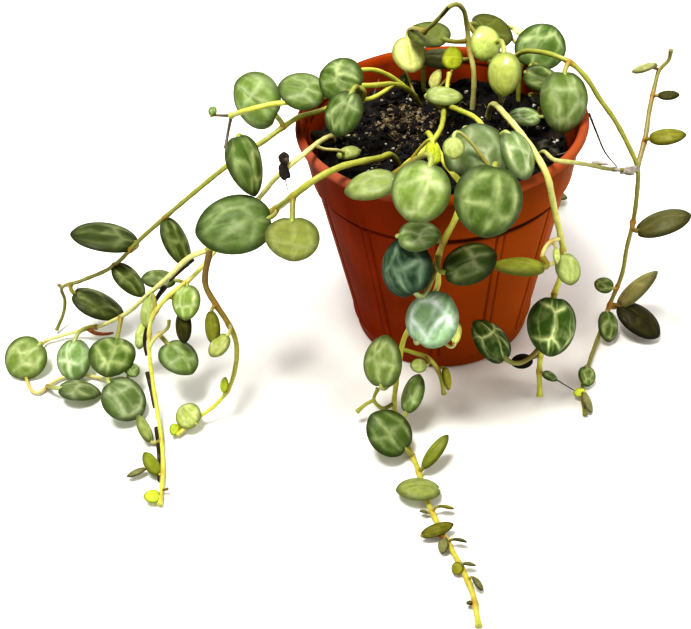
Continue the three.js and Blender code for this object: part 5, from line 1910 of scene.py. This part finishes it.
@dataclass
class DryBits:
    """What has dried up: a dark shrivelled leaf, grey scraps on the soil, the papery sheaths of old buds,
    dark dead lengths of stem, pale threads, and russet streaks on two stems. The thick dark lengths beside
    the thin yellow strand fill a dark gap there: partly a dead stem, partly painted shadow."""

    shrivelled: tuple[tuple[Point, Point], ...] = (
        ((-32.4, -21.2, 60.7), (1.05, 0.7, 1.35)),
        ((-32.6, -21.4, 57.9), (0.95, 0.75, 2.2)),
    )
    sheaths: tuple[tuple[Point, Point], ...] = (
        ((33.2, -16.2, 54.8), (1.5, 0.5, 0.5)),
        ((36.9, -14.2, 51.9), (1.1, 0.45, 0.5)),
        ((40.4, -11.4, 49.6), (1.7, 0.6, 0.9)),
    )
    withered: tuple[tuple[Point, Point], ...] = (
        ((23.0, -6.2, 52.8), (2.3, 1.5, 1.5)),
        ((24.8, -8.4, 52.6), (1.5, 1.1, 1.1)),
    )
    dark_threads: tuple[Thread, ...] = (
        Thread(0.3, ((-32.5, -21.2, 61.5), (-32.2, -21.4, 59.4), (-32.7, -21.2, 56.2),
                     (-32.3, -22, 53.6))),
        Thread(0.5, ((31.3, -7.6, 61.8), (33.1, -9.6, 58), (34.9, -11.4, 54.5), (37.7, -12.3, 51.2))),
        Thread(0.34, ((25.5, -31, 6), (28.6, -31.2, 3.6), (31.5, -31.3, 1.3))),
        # These five dark lengths fill the dark gap beside the thin yellow strand: partly a dead stem, partly
        # painted shadow.
        Thread(1.2, ((-57.3, -18.2, 32), (-60.4, -19.1, 29.5), (-63.3, -20.1, 27))),
        Thread(1.3, ((-64.7, -20.5, 25.5), (-67.1, -21, 22.5), (-68.8, -22.6, 19.5))),
        Thread(1.3, ((-69.4, -23.9, 17.5), (-70.9, -25.9, 13.5), (-70.6, -28.3, 10.5))),
        Thread(1.1, ((-70.6, -30.3, 7), (-69.5, -33.8, 4.4), (-68.3, -37.8, 2.4))),
        Thread(1.1, ((-66.9, -42.8, 1), (-65, -49.8, 0.6), (-63.3, -58.2, 0.6))),
        Thread(0.7, ((1.9, 12.5, 77.0), (0.9, 12.4, 75.8), (0.1, 12.6, 74.8))),
        Thread(0.26, ((-91.0, -9.6, 16.5), (-92.2, -10.4, 13.6), (-91.8, -11.2, 11.2))),
    )
    pale_threads: tuple[Thread, ...] = (
        Thread(0.3, ((24.2, -8.4, 52.0), (25.9, -10.2, 53.4), (27.4, -12.4, 55.8))),
        Thread(0.2, ((-16.4, 17.5, 52.0), (-15.2, 19.0, 54.4), (-14.6, 21.0, 55.6))),
        Thread(0.2, ((14.2, 12.0, 52.0), (15.6, 13.6, 54.6), (17.4, 14.0, 56.4))),
        Thread(0.2, ((7.0, 2.0, 52.0), (8.6, 2.6, 54.0), (9.8, 1.6, 55.2))),
    )
    russet_threads: tuple[Thread, ...] = (
        Thread(1.4, ((-89.7, -14.6, 7), (-87.6, -15.6, 6.2), (-85.2, -15.8, 6), (-82.5, -16.5, 7))),
        Thread(1.7, ((-0.9, -71.2, 1.3), (0, -72.4, 1.3), (0.7, -73.6, 1.2))),
    )

    def scraps(self, name: str, places: Iterable[tuple[Point, Point]], crumple: float) -> Object:
        """Crumpled scraps, each a ball squashed to its size and folded by noise.

        Args:
            name: the joined piece's name.
            places: each scrap's middle and its three half sizes.
            crumple: how deeply it is folded.

        Returns:
            The scraps as one object.
        """
        pieces = []
        for middle, half_sizes in places:
            scrap = added(bpy.ops.mesh.primitive_ico_sphere_add, subdivisions=4, radius=1)
            for vertex in scrap.data.vertices:
                folds = noise.noise(vertex.co * 1.3 + Vector(middle))
                vertex.co *= 1 + crumple * folds
                vertex.co = [place * half + centre
                             for place, half, centre in zip(vertex.co, half_sizes, middle)]
            pieces.append(scrap)
        return joined(pieces, name)

    def threads(self, name: str, threads: Iterable[Thread]) -> Object:
        """Thin threads that taper to their free ends.

        Args:
            name: the piece's name.
            threads: their thicknesses and points.

        Returns:
            The threads as one object.
        """
        lines, radii = [], []
        for thread in threads:
            line = grown([Vector(point) for point in thread.points], 0.4)
            last = len(line) - 1
            lines.append(line)
            radii.append([thread.thick / 2 * (1 - 0.55 * index / last) for index in range(last + 1)])
        return tube(name, lines, radii, 6)

    def build(self, dark: Material, grey: Material, pale: Material, russet: Material) -> None:
        """Lay out every bit, each in its own finish.

        Args:
            dark: the finish of the shrivelled leaf and the dark threads, among them the painted shadow beside
                the thin yellow strand.
            grey: the finish of the scraps on the soil.
            pale: the finish of the sheaths and the pale threads.
            russet: the finish of the streaks.
        """
        finished(self.scraps("withered_leaf", self.withered, 0.5), (grey,))
        finished(self.scraps("dry_leaf", self.shrivelled, 0.5), (dark,))
        finished(self.scraps("dry_sheaths", self.sheaths, 0.9), (pale,))
        finished(self.threads("dark_threads", self.dark_threads), (dark,))
        finished(self.threads("pale_threads", self.pale_threads), (pale,))
        finished(self.threads("russet_streaks", self.russet_threads), (russet,))


@dataclass
class Studio:
    """A plain pale floor, soft light from above, and a camera that looks down on the pot.

    The camera is placed in millimetres, and the lamps in metres.
    """

    eye: Point = (0.0, -195.65, 174.95)
    right: Point = (0.9954, 0.0668, -0.0683)
    up: Point = (0.0057, 0.6714, 0.7411)
    ahead: Point = (-0.0954, 0.7381, -0.6679)
    focal_px: float = 1000.0
    frame_px: float = 691.0
    sensor_mm: float = 36.0
    nearest: float = 0.005
    floor_size: float = 6.0
    floor_gap: float = 0.0002
    floor_colour: str = "#f6f6f4"
    sky_strength: float = 0.4
    aim: Point = (0.0, 0.0, 0.03)
    lamps: tuple[tuple[str, Point, float, float, Point], ...] = (
        ("key", (-0.1, -0.1, 0.55), 0.16, 2.5, (1.0, 0.98, 0.92)),
        ("fill", (0.42, -0.2, 0.35), 0.4, 0.5, (1.0, 0.95, 0.86)),
        ("back", (0.1, 0.4, 0.5), 0.3, 0.8, (1.0, 1.0, 1.0)),
    )

    def build_camera(self) -> None:
        """Create the camera at the photograph's viewing angle."""
        camera = bpy.data.cameras.new("camera")
        camera.sensor_width = self.sensor_mm
        camera.lens = self.focal_px * self.sensor_mm / self.frame_px
        camera.clip_start = self.nearest
        eye = shown("camera", camera)
        turn = Matrix((self.right, self.up, [-value for value in self.ahead])).transposed()
        eye.matrix_world = Matrix.Translation(Vector(self.eye) * MM) @ turn.to_4x4()
        bpy.context.scene.camera = eye

    def build_floor(self) -> None:
        """Lay the floor just below what touches it."""
        floor = added(bpy.ops.mesh.primitive_plane_add, size=self.floor_size,
                      location=(0, 0, -self.floor_gap))
        floor.name = "floor"
        material, tree, surface = new_material("white_matt_paper")
        feed(tree, surface, {
            "Base Color": linear(self.floor_colour), "Roughness": 0.9, "Specular IOR Level": 0.1})
        floor.data.materials.append(material)

    def build_light(self) -> None:
        """Hang a key light above the front, a weak fill to the right and a soft light behind, under a sky."""
        world = bpy.data.worlds.new("sky")
        world.use_nodes = True
        sky = world.node_tree.nodes["Background"]
        sky.inputs["Color"].default_value = (1, 1, 1, 1)
        sky.inputs["Strength"].default_value = self.sky_strength
        bpy.context.scene.world = world
        bpy.context.scene.view_settings.view_transform = "Standard"
        bpy.context.scene.view_settings.look = "High Contrast"
        for name, place, size, power, colour in self.lamps:
            lamp = bpy.data.lights.new(name, "AREA")
            lamp.energy = power
            lamp.size = size
            lamp.color = colour
            hung = shown(name, lamp)
            hung.location = place
            aim = Vector(self.aim) - Vector(place)
            hung.rotation_euler = aim.to_track_quat("-Z", "Y").to_euler()


def main() -> None:
    """Load the fixed model, then build the studio, the pot, the soil and every strand round it."""
    logging.basicConfig(level=logging.INFO, format="%(message)s")
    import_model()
    studio = Studio()
    studio.build_camera()
    studio.build_floor()
    studio.build_light()
    # The third colour is the painted light on the pot's right side.
    outside = MouldedPolypropylene("terracotta_polypropylene", "#8a3208", "#762806", "#a05012")
    # The inner wall's finish is a brighter copy of the outside: painted light for light that comes through
    # the thin wall.
    inside = MouldedPolypropylene(
        "terracotta_polypropylene_lit_through", "#b65218", "#984010", "#a64a18", dust=0.2)
    NurseryPot().build(outside.build(), inside.build())
    peat = Granular("damp_peat", ("#040302", "#0e0906", "#2e2116"), 2.6, 0.5, 0.5, 0.85).build()
    soil = PeatMix()
    soil.build_bed(peat)
    soil.build_crumbs(peat)
    crumb = Granular("dry_peat_crumb", ("#3e3428", "#82735a", "#cfc6aa"), 0.8, 0.3, 0.2, 0.85)
    soil.build_dry_crumbs(crumb.build())
    grain = Granular("expanded_perlite", ("#b9b6aa", "#e4e2da", "#f6f5f0"), 0.8, 0.2, 0.1, 0.7)
    soil.build_perlite(grain.build())
    fibre = Granular("coir_fibre", ("#4a381f", "#8a7346", "#b9a677"), 1.5, 0.2, 0.05, 0.7)
    soil.build_fibres(fibre.build())
    leaf_skin = WaxyLeaf().build()
    stem_skin = FleshyStem().build()
    maker = LeafMaker()
    for index, strand in enumerate(STRANDS):
        StrandBuilder(strand, maker, seed=FIRST_SEED + index).build(leaf_skin, stem_skin)
    # This finish serves the shrivelled leaf and the dark threads, some of which are painted shadow.
    dark = Granular("dried_leaf_and_painted_shadow", ("#17100d", "#33261f", "#6a584a"), 1.6, 0.3, 0.12, 0.7)
    pale = Granular("papery_sheath", ("#77706a", "#a8a096", "#cfc8b8"), 1.6, 0.3, 0.12, 0.7)
    russet = Granular("rusted_tissue", ("#5c2a10", "#84481e", "#a8784c"), 1.2, 0.3, 0.05, 0.6)
    grey = Granular("withered_leaf", ("#16170f", "#34352a", "#67685a"), 1.8, 0.3, 0.1, 0.6)
    DryBits().build(dark.build(), grey.build(), pale.build(), russet.build())


if __name__ == "__main__":
    main()
